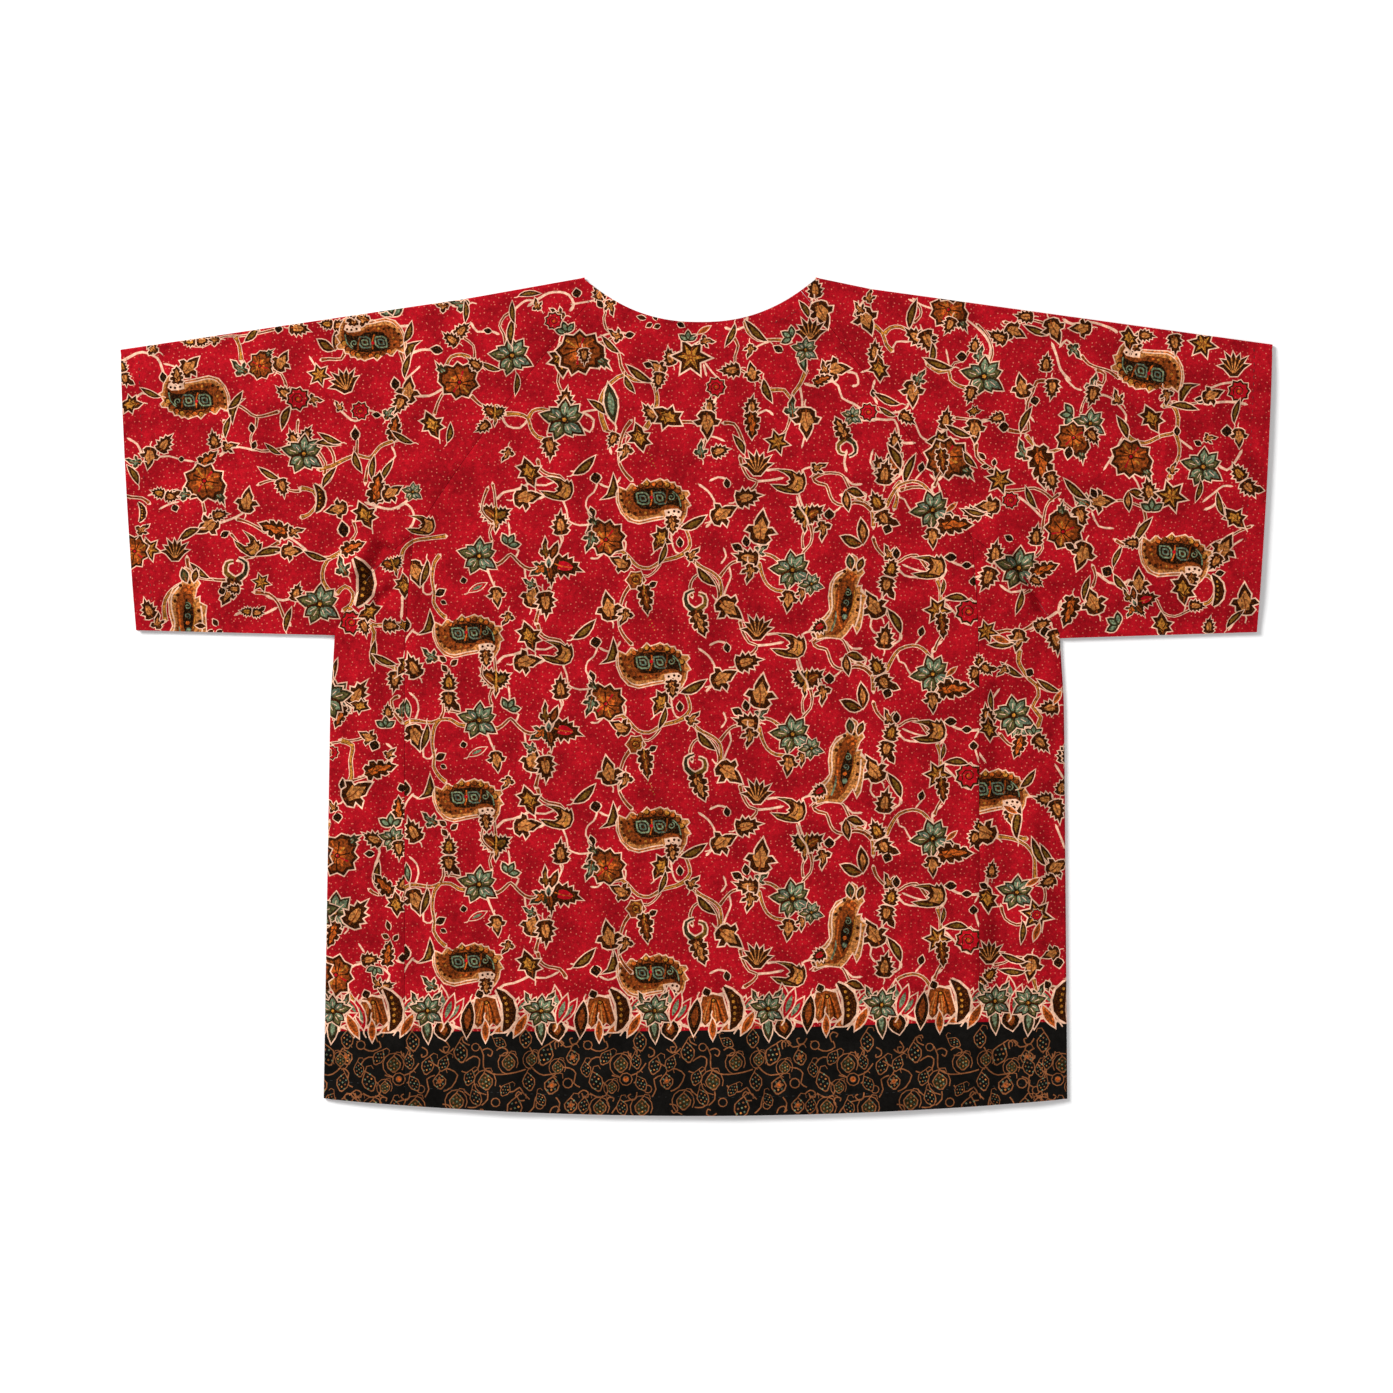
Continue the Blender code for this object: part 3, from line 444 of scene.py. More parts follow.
SIDE_VINES = """
18 403,597 0,9 -1,10; 30 345,606 7,3 12,10 13,6 13,-1; 30 368,620 7,12 -2,12 1,12 6,6 12,4 10,6;
26 399,696 -7,4 4,14 7,8; 20 325,744 17,-3 16,-2 8,-3; 36 342,740 11,5 -2,15 1,16 -5,12; 20 352,780 14,-4 8,-6;
16 386,717 -2,7; 16 388,744 6,6 -2,10; 30 325,822 3,14 2,14; 24 407,798 -7,2 -5,12 -3,8; 18 378,843 2,9 -4,11 -1,9;
24 370,889 8,5 10,-2 8,-6; 20 405,892 -3,8; 18 334,928 0,-8; 30 329,963 11,4 10,3 -3,16 7,14; 16 366,962 -10,2 -6,4;
16 384,968 6,6 -2,6; 18 398,960 8,2 6,-4; 14 360,944 4,6; 26 994,633 12,-3 12,1 10,-4 11,-8;
32 1019,650 -1,11 4,8 6,9 8,7 2,10 -6,11 8,11 -5,12; 26 1036,683 11,7 15,0; 26 1000,734 8,9 8,3;
18 1032,706 10,6 10,-6; 16 998,690 -6,8; 18 1026,796 8,0 12,6; 32 1015,808 -3,16 6,12 8,2;
30 998,836 14,2 13,6 8,11 1,11 0,12; 20 1040,858 10,4; 24 1036,878 8,10 0,12 -4,6; 24 1001,906 4,12 11,6 8,-2;
20 994,964 10,-2 12,-6 10,2; 30 1033,978 3,12 6,9; 16 1040,957 6,-2; 18 986,886 2,-10; 16 1056,826 4,10 4,10;
16 984,760 -6,-8; 16 1056,766 6,10
"""
ROW_VINES = """
18 452,1024 10,4 14,-2 14,1 14,-2 8,2 4,5 8,-8; 16 528,1010 -10,-10 -10,-2 -4,6; 16 560,1012 8,10 -2,8;
14 470,1002 8,-5 10,-1 10,-2
"""
# Thin lines of the border field, written as the stems are
FIELD_LINES = """
430,1060 10,6 10,2 8,6 -6,12 -8,4; 466,1060 8,-5 6,3 -2,10 -8,4 -8,-2; 480,1045 4,9 0,12 8,6 10,1 14,-2 10,-3;
497,1049 5,-3 6,3 -2,5 -6,0; 530,1046 4,8 -4,8 6,8 8,4 12,-2; 556,1062 6,4 8,1 6,5 -2,10 6,4;
584,1040 8,8 8,2 8,-4 -2,-6; 590,1092 8,4 8,-2 2,-8 -6,-6; 604,1064 -4,-8 -8,2 -4,8 6,6;
612,1074 8,2 12,-2 8,-4 6,-8; 464,1088 6,6 8,-2 4,8 -6,6 -8,0; 488,1090 0,8 -6,6; 500,1084 6,6 8,0 6,-4 4,6 6,6;
528,1112 6,-6 2,-10 8,-2; 556,1096 4,6 -2,8; 580,1110 4,-10 -2,-8; 612,1112 6,-8 8,-4 8,-2; 628,1050 4,8 8,-4;
560,1040 6,6 8,-2; 446,1040 4,6 -4,6 -6,-4; 652,1096 4,-8 -2,-10 8,-4; 634,1082 6,-4 2,6;
454,1047 -4,4 -5,0 -1,-5 4,0; 556,1048 -1,-6 4,-3 5,3 -3,3; 633,1046 4,4 -1,5 -5,1 0,-4;
525,1099 -6,0 -3,-5 3,-4 3,3; 578,1093 5,-4 5,2 0,5 -4,-1; 637,1091 -1,6 -4,2 -4,-4 3,-2;
610,1106 -3,-5 2,-5 5,1 -1,3; 443,1103 6,1 2,5 -4,3 -2,-3; 490,1112 -5,3 -5,-2 1,-5 3,1; 550,1112 2,-5 5,-2 3,4 -3,2;
589,1105 2,5 -3,4 -5,-1 2,-3; 470,1044 -6,-3 -1,-5 5,-2 1,3; 483,1049 5,-2 5,3 -2,5 -3,-2;
580,1037 -3,5 -5,1 -2,-5 3,-1; 605,1041 -2,-6 3,-4 5,2 -2,3; 649,1046 5,3 0,5 -5,2 0,-3
"""


def smooth(value):
    """Ease from 0 to 1, held at both ends."""
    value = np.clip(value, 0.0, 1.0)
    return value * value * (3 - 2 * value)


def line_between(start, end, t):
    """Points between two points, for an array of fractions."""
    return np.outer(1 - t, start) + np.outer(t, end)


def bowed(start, end, bow, t):
    """Points of a shallow curve that stands off the straight line by bow at its middle."""
    along = (np.array(end) - start) / math.dist(start, end)
    across = np.array((-along[1], along[0]))
    return line_between(start, end, t) + np.outer(4 * t * (1 - t) * bow, across)


def rounding(distance, radius):
    """How far a rounded corner falls back, by the distance left to the edge."""
    inside = np.clip(radius - distance, 0.0, radius)
    return radius - np.sqrt(radius ** 2 - inside ** 2)


def hem_y(x):
    """Height of the hem curve at x, with its rounded corners."""
    corner = np.where(x < 0, SIDES["left"]["hem_corner"][0], SIDES["right"]["hem_corner"][0])
    arc = HEM_MIDDLE_Y + HEM_RISE * (x / HEM_HALF_WIDTH) ** 2
    return arc + rounding(np.maximum(corner - np.abs(x), 0.0), CORNER_RADIUS)


def neck_curve(layer, u):
    """Neckline of one layer, u from -1 at the left tip to 1 at the right tip."""
    drop, power, _ = NECK_SHAPES[layer]
    x = NECK_CENTRE_X + u * NECK_HALF_WIDTH
    return np.column_stack((x, NECK_TIP_Y - drop * (1 - np.abs(u) ** power)))


def outwards(side, points):
    """Plan points turned between the shirt's frame and distances outwards on one side."""
    return points * (side["sign"], 1)


def raglan_seam(side, layer, t):
    """Slanted seam between sleeve and body, from the junction up to the neck."""
    top = neck_curve(layer, np.array([side["sign"] * NECK_SHAPES[layer][2]]))
    return bowed(side["junction"], outwards(side, top)[0], -RAGLAN_BOW, t)


def armhole_seam(side, t):
    """Seam between sleeve and side panel, from the junction down to the underarm."""
    return bowed(side["junction"], side["underarm"], ARMHOLE_BOW, t)


def panel_seam(side, t):
    """Long seam between body and side panel, from the junction down to the hem."""
    start_x, start_y = side["junction"]
    x = start_x + (side["seam_x"] - start_x) * np.sin(math.pi / 2 * np.minimum(t * 4, 1.0))
    end_y = hem_y(np.array([side["sign"] * side["seam_x"]]))[0]
    return np.column_stack((x, start_y + (end_y - start_y) * t))


def cuff_edge(side, t):
    """Open end of the sleeve, from the underarm seam to the top edge."""
    points = bowed(side["cuff_bottom"], side["cuff_top"], -CUFF_BOW, t)
    length = side["cuff_top"][1] - side["cuff_bottom"][1]
    points[:, 0] -= rounding((1 - t) * length, CUFF_CORNER)
    return points


def steps(length):
    """Even fractions from 0 to 1 for an edge of about this length."""
    return np.linspace(0.0, 1.0, max(int(length / PLAN_STEP), 2) + 1)


def line_distance(points, line):
    """Distance of many points to a polyline, and how far along it the nearest place is."""
    best = np.full(len(points), 9.0)
    along = np.zeros(len(points))
    run = 0.0
    for start, end in zip(line, line[1:]):
        step = end - start
        length = math.hypot(*step)
        gap_x, gap_y = points[:, 0] - start[0], points[:, 1] - start[1]
        t = np.clip((gap_x * step[0] + gap_y * step[1]) / length ** 2, 0.0, 1.0)
        distance = (gap_x - t * step[0]) ** 2 + (gap_y - t * step[1]) ** 2
        nearer = distance < best
        best[nearer] = distance[nearer]
        along[nearer] = run + t[nearer] * length
        run += length
    return np.sqrt(best), along


def near_line(points, line, reach):
    """Numbers of the points that lie in a line's own box, grown by reach."""
    (x0, y0), (x1, y1) = line.min(axis=0) - reach, line.max(axis=0) + reach
    x, y = points.T
    return np.flatnonzero((x > x0) & (x < x1) & (y > y0) & (y < y1))


def by_side(points, measure):
    """A measure taken on each side's own sizes, for points given in the shirt's frame."""
    out = np.column_stack((np.abs(points[:, 0]), points[:, 1]))
    left, right = (measure(side, out) for side in SIDES.values())
    return np.where(points[:, 0] < 0, left, right)


def closed_edge_distance(side, out):
    """Distance to the nearest edge where the two layers are joined."""
    tip = (NECK_HALF_WIDTH + side["sign"] * NECK_CENTRE_X, NECK_TIP_Y)
    stretches = ((side["underarm"], side["hem_corner"]), (side["underarm"], side["cuff_bottom"]),
                 (tip, side["cuff_top"]))
    return np.min([line_distance(out, np.array(s))[0] for s in stretches], axis=0)


def lift(points):
    """Height of the upper layer above where it would lie pressed flat."""
    height = np.full(len(points), LOFT)
    for x0, y0, x1, y1, width, rise in FOLDS + CREASES:
        start, step = np.array((x0, y0)), np.array((x1 - x0, y1 - y0))
        along = (points - start) @ step / (step @ step)
        gap = points - start - np.clip(along, 0.0, 1.0)[:, None] * step
        distance = np.hypot(gap[:, 0], gap[:, 1])
        ends = smooth(0.25 + 4 * np.clip(np.minimum(along, 1 - along), 0.0, 1.0))
        height += rise * ends * np.exp(-(distance / width) ** 2)
    return height * smooth(by_side(points, closed_edge_distance) / LOFT_MARGIN)


def turned(distance, depth):
    """Relief of a turned edge: the doubled cloth, and the groove that its stitches pull."""
    doubled = TURN_RISE * smooth((depth - distance) / TURN_BLEND + 0.5)
    return doubled - STITCH_GROOVE * np.exp(-((distance - depth) / GROOVE_WIDTH) ** 2)


def edge_relief(points, layer):
    """Relief of the turned hem, cuffs and neck of one layer."""
    relief = turned(points[:, 1] - hem_y(points[:, 0]), HEM_TURN)
    lines = [(neck_curve(layer, np.linspace(-1, 1, 33)), NECK_TURN)]
    lines += [(outwards(side, cuff_edge(side, np.linspace(0, 1, 7))), CUFF_TURN) for side in SIDES.values()]
    for line, depth in lines:
        near = near_line(points, line, 2 * depth)
        relief[near] += turned(line_distance(points[near], line)[0], depth)
    return relief


def seam_lines(layer):
    """The seams of one layer, in the shirt's frame."""
    lines = []
    for side in SIDES.values():
        t = np.linspace(0, 1, 9)
        for seam in (raglan_seam(side, layer, t), armhole_seam(side, t), panel_seam(side, t ** 1.5)):
            lines.append(outwards(side, seam))
    return lines


def seam_relief(points, layer):
    """Groove, ridge and puckers along the seams of one layer."""
    relief = np.zeros(len(points))
    for k, line in enumerate(seam_lines(layer)):
        near = near_line(points, line, SEAM_REACH)
        distance, along = line_distance(points[near], line)
        part = SEAM_RIDGE * np.exp(-((distance - SEAM_RIDGE_AT) / SEAM_RIDGE_WIDTH) ** 2)
        part -= SEAM_DIP * np.exp(-(distance / SEAM_DIP_WIDTH) ** 2)
        wave = np.sin(2 * math.pi * along / PUCKER_LENGTH + 1.7 * np.sin(along * PUCKER_DRIFT + k))
        part += PUCKER * wave * np.exp(-distance / PUCKER_REACH)
        relief[near] += part * smooth((SEAM_REACH - distance) / (0.4 * SEAM_REACH))
    return relief


def upper_height(points):
    """Height of the top face of the upper layer, which never sinks into the layer beneath."""
    height = TOP_LEVEL + lift(points) + edge_relief(points, "back") + seam_relief(points, "back")
    return np.maximum(height, PRESSED_LEVEL)


class FoldedCloth:
    """A piece folded round one edge: its cloth plane runs along (a) and across (d) the fold.

    d is below 0 on the upper layer, from 0 to the bend's length round the fold, and beyond
    that on the lower layer.
    """

    def __init__(self, side, start, end, shaping):
        self.side = side
        self.length = math.dist(start, end)
        self.along = (np.array(end) - start) / self.length
        self.out = np.array((-self.along[1], self.along[0]))
        self.origin = np.array(start) - self.out * BEND
        self.shaping = shaping

    def upper(self, points):
        """Cloth-plane place of upper-layer plan points, given outwards."""
        gap = points - self.origin
        a = gap @ self.along
        return np.column_stack((a, gap @ self.out - self.shaping(a / self.length)))

    def lower(self, points):
        """Cloth-plane place of lower-layer plan points, given outwards: mirrored over the fold."""
        a, d = self.upper(points).T
        return np.column_stack((a, BEND_LENGTH - d))

    def surface(self, flat):
        """Points of the printed face for cloth-plane places."""
        a, d = flat.T
        foot = self.origin + np.outer(a, self.along)
        foot += np.outer(self.shaping(a / self.length), self.out)
        angle = np.clip(d / BEND, 0.0, math.pi)
        reach = np.minimum(d, 0.0) + BEND * np.sin(angle) - np.maximum(d - BEND_LENGTH, 0.0)
        plan = outwards(self.side, foot + np.outer(reach, self.out))
        upper = d < 0
        height = BEND * (1 + np.cos(angle))
        relief = np.zeros(len(flat))
        relief[upper] = upper_height(plan[upper]) - TOP_LEVEL
        relief[~upper] = -LOWER_SEAM_SHARE * np.minimum(seam_relief(plan[~upper], "front"), 0.0)
        near = smooth(np.maximum(-d, d - BEND_LENGTH) / FOLD_EASE)
        return np.column_stack((plan, height + relief * near))


def sleeve_cloth(side):
    """Sleeve, folded along its top edge."""
    tip_x = NECK_HALF_WIDTH + side["sign"] * NECK_CENTRE_X
    start, end = (tip_x, TOP_EDGE_Y), side["cuff_top"]

    def flare(t):
        near = 1 - t * (end[0] - start[0]) / NECK_FLARE_LENGTH
        return NECK_FLARE * np.clip(near, 0.0, 1.0) ** 2

    return FoldedCloth(side, start, end, flare)


def side_cloth(side):
    """Side panel, folded down the shirt's side."""
    def shaping(t):
        return SIDE_SHAPING * smooth(t * 6) * (1 - np.clip(t, 0.0, 1.0))

    return FoldedCloth(side, side["underarm"], side["hem_corner"], shaping)


def joined_round(first, second):
    """Outline that runs along one layer, round the fold and back along the other.

    first and second are cloth-plane edges of the upper and lower layer that end at the fold.
    """
    first = first[first[:, 1] < -PLAN_STEP / 4]
    second = second[second[:, 1] > BEND_LENGTH + PLAN_STEP / 4]
    middle = (first[-1, 0] + second[-1, 0]) / 2
    bend = np.column_stack((np.full(len(BEND_ROWS), middle), BEND_ROWS))
    return np.vstack((first, bend, second[::-1]))


def sleeve_outline(cloth):
    """Cut edge of a sleeve in its cloth plane."""
    side = cloth.side
    edges = []
    for layer, place in (("back", cloth.upper), ("front", cloth.lower)):
        seam_at = NECK_SHAPES[layer][2]
        neck = neck_curve(layer, side["sign"] * np.linspace(seam_at, 1.0, 9)[1:])
        parts = (armhole_seam(side, steps(ARMHOLE_LENGTH)[::-1]), raglan_seam(side, layer, steps(RAGLAN_LENGTH))[1:],
                 outwards(side, neck))
        edges.append(place(np.vstack(parts)))
    inner = joined_round(*edges)
    under = line_between(side["underarm"], side["cuff_bottom"], steps(UNDERARM_LENGTH)[1:-1])
    cuff = cuff_edge(side, steps(CUFF_LENGTH))
    outer = joined_round(cloth.upper(cuff), cloth.lower(cuff))
    return np.vstack((inner, cloth.lower(under), outer[::-1], cloth.upper(under[::-1])))


def side_outline(cloth):
    """Cut edge of a side panel in its cloth plane."""
    side = cloth.side
    top = armhole_seam(side, steps(ARMHOLE_LENGTH))
    x = np.linspace(side["seam_x"], side["hem_corner"][0], 20)
    hem = np.column_stack((x, hem_y(side["sign"] * x)))
    seam = panel_seam(side, steps(PANEL_LENGTH))[1:-1]
    upper_end = joined_round(cloth.upper(top), cloth.lower(top))
    lower_end = joined_round(cloth.upper(hem), cloth.lower(hem))
    return np.vstack((upper_end, cloth.lower(seam), lower_end[::-1], cloth.upper(seam[::-1])))


def body_outline(layer):
    """Cut edge of the centre back or front."""
    left, right = SIDES["left"], SIDES["right"]
    x = np.linspace(-left["seam_x"], right["seam_x"], 110)
    hem = np.column_stack((x, hem_y(x)))
    edges = []
    for side in (left, right):
        seam = panel_seam(side, steps(PANEL_LENGTH)[::-1])[1:]
        edges.append(outwards(side, np.vstack((seam, raglan_seam(side, layer, steps(RAGLAN_LENGTH))[1:]))))
    seam_at = NECK_SHAPES[layer][2]
    neck = neck_curve(layer, np.linspace(seam_at, -seam_at, 60))[1:-1]
    return np.vstack((hem, edges[1], neck, edges[0][::-1]))


def shoelace(outline):
    """Signed area inside a closed outline."""
    x, y = outline.T
    return 0.5 * np.sum(x * np.roll(y, -1) - np.roll(x, -1) * y)


def drawn_in(outline, amount):
    """Closed outline moved inwards by the same amount all round."""
    step = np.roll(outline, -1, axis=0) - np.roll(outline, 1, axis=0)
    step /= np.hypot(step[:, 0], step[:, 1])[:, None]
    turn = math.copysign(1.0, shoelace(outline))
    return outline + turn * amount * np.column_stack((-step[:, 1], step[:, 0]))


def wave(points):
    """Smooth curve through points, as a list of finer points."""
    fine = []
    ends = [points[0], *points, points[-1]]
    for before, start, end, after in zip(ends, ends[1:], ends[2:], ends[3:]):
        count = max(2, int(math.dist(start, end) / CURVE_STEP))
        for t in np.arange(count) / count:
            fine.append(tuple(
                0.5 * (2 * b + (c - a) * t + (2 * a - 5 * b + 4 * c - d) * t ** 2
                       + (3 * b - a - 3 * c + d) * t ** 3)
                for a, b, c, d in zip(before, start, end, after)))
    return fine + [tuple(points[-1])]


def ribbon(line, half):
    """Closed band along a line; half gives the half width at each fraction of the way."""
    left, right = [], []
    last = len(line) - 1
    for k, (x, y) in enumerate(line):
        before, after = line[max(k - 1, 0)], line[min(k + 1, last)]
        dx, dy = after[0] - before[0], after[1] - before[1]
        w = half(k / last) / (math.hypot(dx, dy) or 1.0)
        left.append((x - dy * w, y + dx * w))
        right.append((x + dy * w, y - dx * w))
    return left + right[::-1]


def places(text):
    """Places in millimetres from their written form."""
    return [tuple(map(float, place.split(","))) for place in text.split()]


def scaled(points, x_size, y_size=None):
    """Points drawn larger or smaller about their middle."""
    return [(x_size * x, (y_size or x_size) * y) for x, y in points]


def moved(shapes, x=0.0, y=0.0, turn=0.0, size=1.0, flip=False):
    """Shapes turned by degrees, sized, mirrored and placed."""
    c, s = math.cos(math.radians(turn)) * size, math.sin(math.radians(turn)) * size
    mirror = -1 if flip else 1
    return [(colour, [(x + mirror * px * c - py * s, y + mirror * px * s + py * c) for px, py in points])
            for colour, points in shapes]


def layered(*parts):
    """Parts drawn on one another, with all the wax edges underneath."""
    shapes = [shape for part in parts for shape in part]
    return [s for s in shapes if s[0] == "cream"] + [s for s in shapes if s[0] != "cream"]


def around(radius, angle, squash=1.0):
    """Place at a distance and angle from the middle."""
    return radius * math.cos(angle), squash * radius * math.sin(angle)


def disc(radius, colour, x=0.0, y=0.0, sides=8):
    """Round spot."""
    ring_places = [around(radius, 2 * math.pi * k / sides) for k in range(sides)]
    return colour, [(x + px, y + py) for px, py in ring_places]


def discs(radius, sides, colours, text):
    """Row of round spots, in colours that take turns."""
    colours = colours.split()
    return [disc(radius, colours[k % len(colours)], x, y, sides) for k, (x, y) in enumerate(places(text))]


def stroke(colour, half, change, line):
    """Drawn line whose half width changes evenly along it."""
    return colour, ribbon(line, lambda t: half + change * t)


def strokes(text, curved=False):
    """Drawn lines, each written as colour, half width, its change along the line, and places."""
    rows = [row.split(maxsplit=3) for row in text.split(";")]
    return [stroke(colour, float(half), float(change), wave(places(line)) if curved else places(line))
            for colour, half, change, line in rows]


def curl(turns, reach, width, colour, x=0.0, y=0.0):
    """Drawn curl."""
    line = [around(reach * (0.14 + 0.86 * k / 12), 2 * math.pi * turns * k / 12) for k in range(13)]
    return stroke(colour, width / 2, 0.0, [(x + px, y + py) for px, py in line])


def grown(points, by):
    """Outline moved outwards by a distance all round."""
    following = points[1:] + points[:1]
    way = 1 if sum(x0 * y1 - x1 * y0 for (x0, y0), (x1, y1) in zip(points, following)) > 0 else -1
    result = []
    for (x0, y0), (x, y), (x1, y1) in zip(points[-1:] + points, points, following):
        a, b = math.hypot(x - x0, y - y0) or 1.0, math.hypot(x1 - x, y1 - y) or 1.0
        nx, ny = (y - y0) / a + (y1 - y) / b, (x0 - x) / a + (x - x1) / b
        size = math.hypot(nx, ny) or 1.0
        step = way * by / (max(size / 2, 0.5) * size)
        result.append((x + nx * step, y + ny * step))
    return result


def waxed(skin, points, edge=0.8):
    """Shape on its cream wax edge."""
    return [("cream", grown(points, edge * WAX)), (skin, points)]


# Leaf outlines, 12 wide and 20 long from the stalk up, by how many lobes a side has, each after its
# heart's share of the width and length, the heart's middle, and which of the outline's places it takes
LEAVES = {
    1: (0.5, 0.6, 9, 1, "0.7,0 2.8,3 5.2,7.6 5.6,11.6 3.6,16 0,20 -3.6,15.6 -5.4,11 -4.8,6.4 -2.2,2.2"),
    2: (0.5, 0.56, 8, 1, "1,0 3.6,1.8 3.1,4.8 6.6,5.2 8.2,8 5.4,8.6 2.9,7.8 2.7,11.4 4.6,14.8 3.2,19.4 1.2,16.6 "
        "-1.8,13.6 -2.4,9.4 -5.4,10.2 -7.4,7.4 -5.2,4.6 -2.7,4.4 -3,1.8"),
    3: (0.6, 0.62, 8.4, 2, "0.8,0 4,0.4 6.2,2.8 4.4,4.6 7,7 4.2,8.2 5.8,11.6 3.2,11.6 3.2,15.2 1.2,15 0.4,20 "
        "-1.5,15.4 -3.6,15.6 -3.1,12 -5.8,11.4 -4.2,8.4 -7,7.4 -4.4,4.8 -5.8,2.2 -3.2,0.4"),
    4: (0.42, 0.72, 9, 2, "0.8,0 2.2,1.4 4.6,1.2 5.7,2.9 3.4,4.8 5.6,6.2 6,8.4 3.4,9.2 5.2,11.4 4.6,13.6 2.5,13.2 "
        "3.3,15.6 2.1,17.2 0.2,20 -1.4,17.4 -3.2,16.8 -3.4,15.2 -2.1,13.3 -4.6,13.2 -5.2,10.8 -3.1,9.4 -5.8,8.4 "
        "-6.2,5.8 -3.5,4.8 -4.8,3 -3.4,1 -1.2,1.6"),
    5: (0.54, 0.56, 9.4, 1, "0.5,-1 2.4,4.4 6,5 4.2,8.4 7,11.4 3.4,12.4 2.6,15 0.2,20 -2.4,15.6 -5.8,15.2 -4,11.4 "
        "-6.4,8 -3.2,7 -2.8,3.2"),
    6: (0.66, 0.64, 8, 2, "0.8,0 3.6,0.4 5.8,3.4 4,6 8.2,7.6 6,10.4 3.4,9.8 4.2,13.4 2.8,16.4 1.6,20.6 -1,16.8 "
        "-2.8,13 -3,10.2 -5.8,10 -7.6,6.8 -4.8,5.8 -4.8,2.4 -2.4,0.4"),
}


def leaf(length, width, lobes=3, bend=0.0, skin="dark", heart="ochre", vein="rust"):
    """Leaf drawn in wax: cream edge, dark lobed rim, lighter heart and a vein."""
    def placed(points):
        return [(x * width / 12 + bend * length * (y / 20) ** 2, y * length / 20) for x, y in points]

    wide, tall, middle, every, text = LEAVES[lobes]
    inner = [(wide * x, middle + tall * (y - middle)) for x, y in places(text)[every - 1::every]]
    shapes = [*waxed(skin, placed(places(text))), (heart, placed(inner))]
    if vein:
        shapes.append(stroke(vein, 0.5, -0.3, placed([(0, 1), (0.5, 6), (-0.3, 13)])))
        if lobes in (4, 5):
            shapes.append(stroke(skin, 0.35, 0.0, placed([(0.4, 7), (2.6, 10.5)])))
            shapes.append(stroke(skin, 0.35, 0.0, placed([(0.2, 5), (-2.6, 8.4)])))
    return shapes


def petal(length, width, grow=0.0):
    """Pointed oval petal from the origin along +Y."""
    marks = ((0.0, 0.18), (0.28, 0.84), (0.56, 0.96), (0.8, 0.52))
    right = [(width / 2 * w + grow, length * t) for t, w in marks]
    return right + [(0.0, length + grow * 1.4)] + [(-x, y) for x, y in right[::-1]]


def star_flower(radius):
    """Open flower of nine uneven pointed grey-green petals with dark rims."""
    wax, dark, light = [], [], []
    for k in range(9):
        turn = 360 * k / 9 + (8 if k % 2 else -5)
        reach = radius * (1.0, 0.84, 1.14, 0.9)[k % 4]
        width = radius * 0.6
        wax += moved([("cream", petal(reach, width, 0.8 * WAX))], turn=turn)
        dark += moved([("sea" if k % 3 else "dark", petal(reach, width))], turn=turn)
        fill = ("teal", "blue", "moss", "teal", "moss")[k % 5]
        light += moved(moved([(fill, petal(reach * 0.64, width * 0.58))], y=reach * 0.22), turn=turn)
        light += moved([stroke("cream", 0.2, 0.0, [(0, reach * 0.34), (0.3, reach * 0.6)])], turn=turn)
    return wax + dark + light + [disc(radius * 0.17, "black", sides=7), disc(radius * 0.1, "gold", 0.3, 0.2, 5)]


def comb(reach):
    """Dark fan of long petals parted by wax lines."""
    points, parts, low = [(0.22 * reach, -0.5 * reach)], [], 0.62 * reach
    for k in range(8):
        a = math.radians(-2 + 26.5 * k)
        points.append(around(low, a))
        if k < 7:
            a += math.radians(15)
            points.append(around(reach * (1.0, 1.12, 0.94)[k % 3], a))
        if 0 < k < 7:
            parts.append(stroke("ochre", 0.25, 0.2, [(0.1 * low * math.cos(a), -0.3 * reach), points[2 * k + 1]]))
    points.append((-0.22 * reach, -0.5 * reach))
    return waxed("dark", points) + parts


def scallops(radius, count=9):
    """Round outline with small uneven waves."""
    return [around(radius * (1.0, 0.84, 1.06, 0.8)[k % 4], math.pi * k / count) for k in range(2 * count)]


def knot():
    """Round brown curl where stems meet."""
    return waxed("rust", scallops(6.4, 6), 0.7) + [
        curl(1.4, 4.4, 0.9, "gold", 0.3, 0.2), curl(-1.1, 3.2, 0.8, "dark", -0.4, 0.0)]


def spiky(radius, lobes=7, heart="ochre"):
    """Spiky leaf with lobes nearly all round, on a short stalk."""
    def spikes(reach, low):
        return [around(reach * (1.0 + 0.2 * math.sin(3.1 * k)) if k % 2 else low, math.pi * k / lobes + 0.3)
                for k in range(lobes * 2)]

    shapes = [("cream", spikes(radius + WAX * 1.6, radius * 0.55 + WAX)),
              ("dark", spikes(radius, radius * 0.55)), (heart, spikes(radius * 0.7, radius * 0.26))]
    for k in range(5):
        shapes.append(stroke("rust", 0.42, -0.25, [around(radius * r, 2 * math.pi * k / 5) for r in (0.05, 0.5)]))
    return shapes


def bud(length, width, skin="black"):
    """Small dark bud."""
    return [("cream", petal(length, width, WAX * 0.85)), (skin, petal(length, width))]


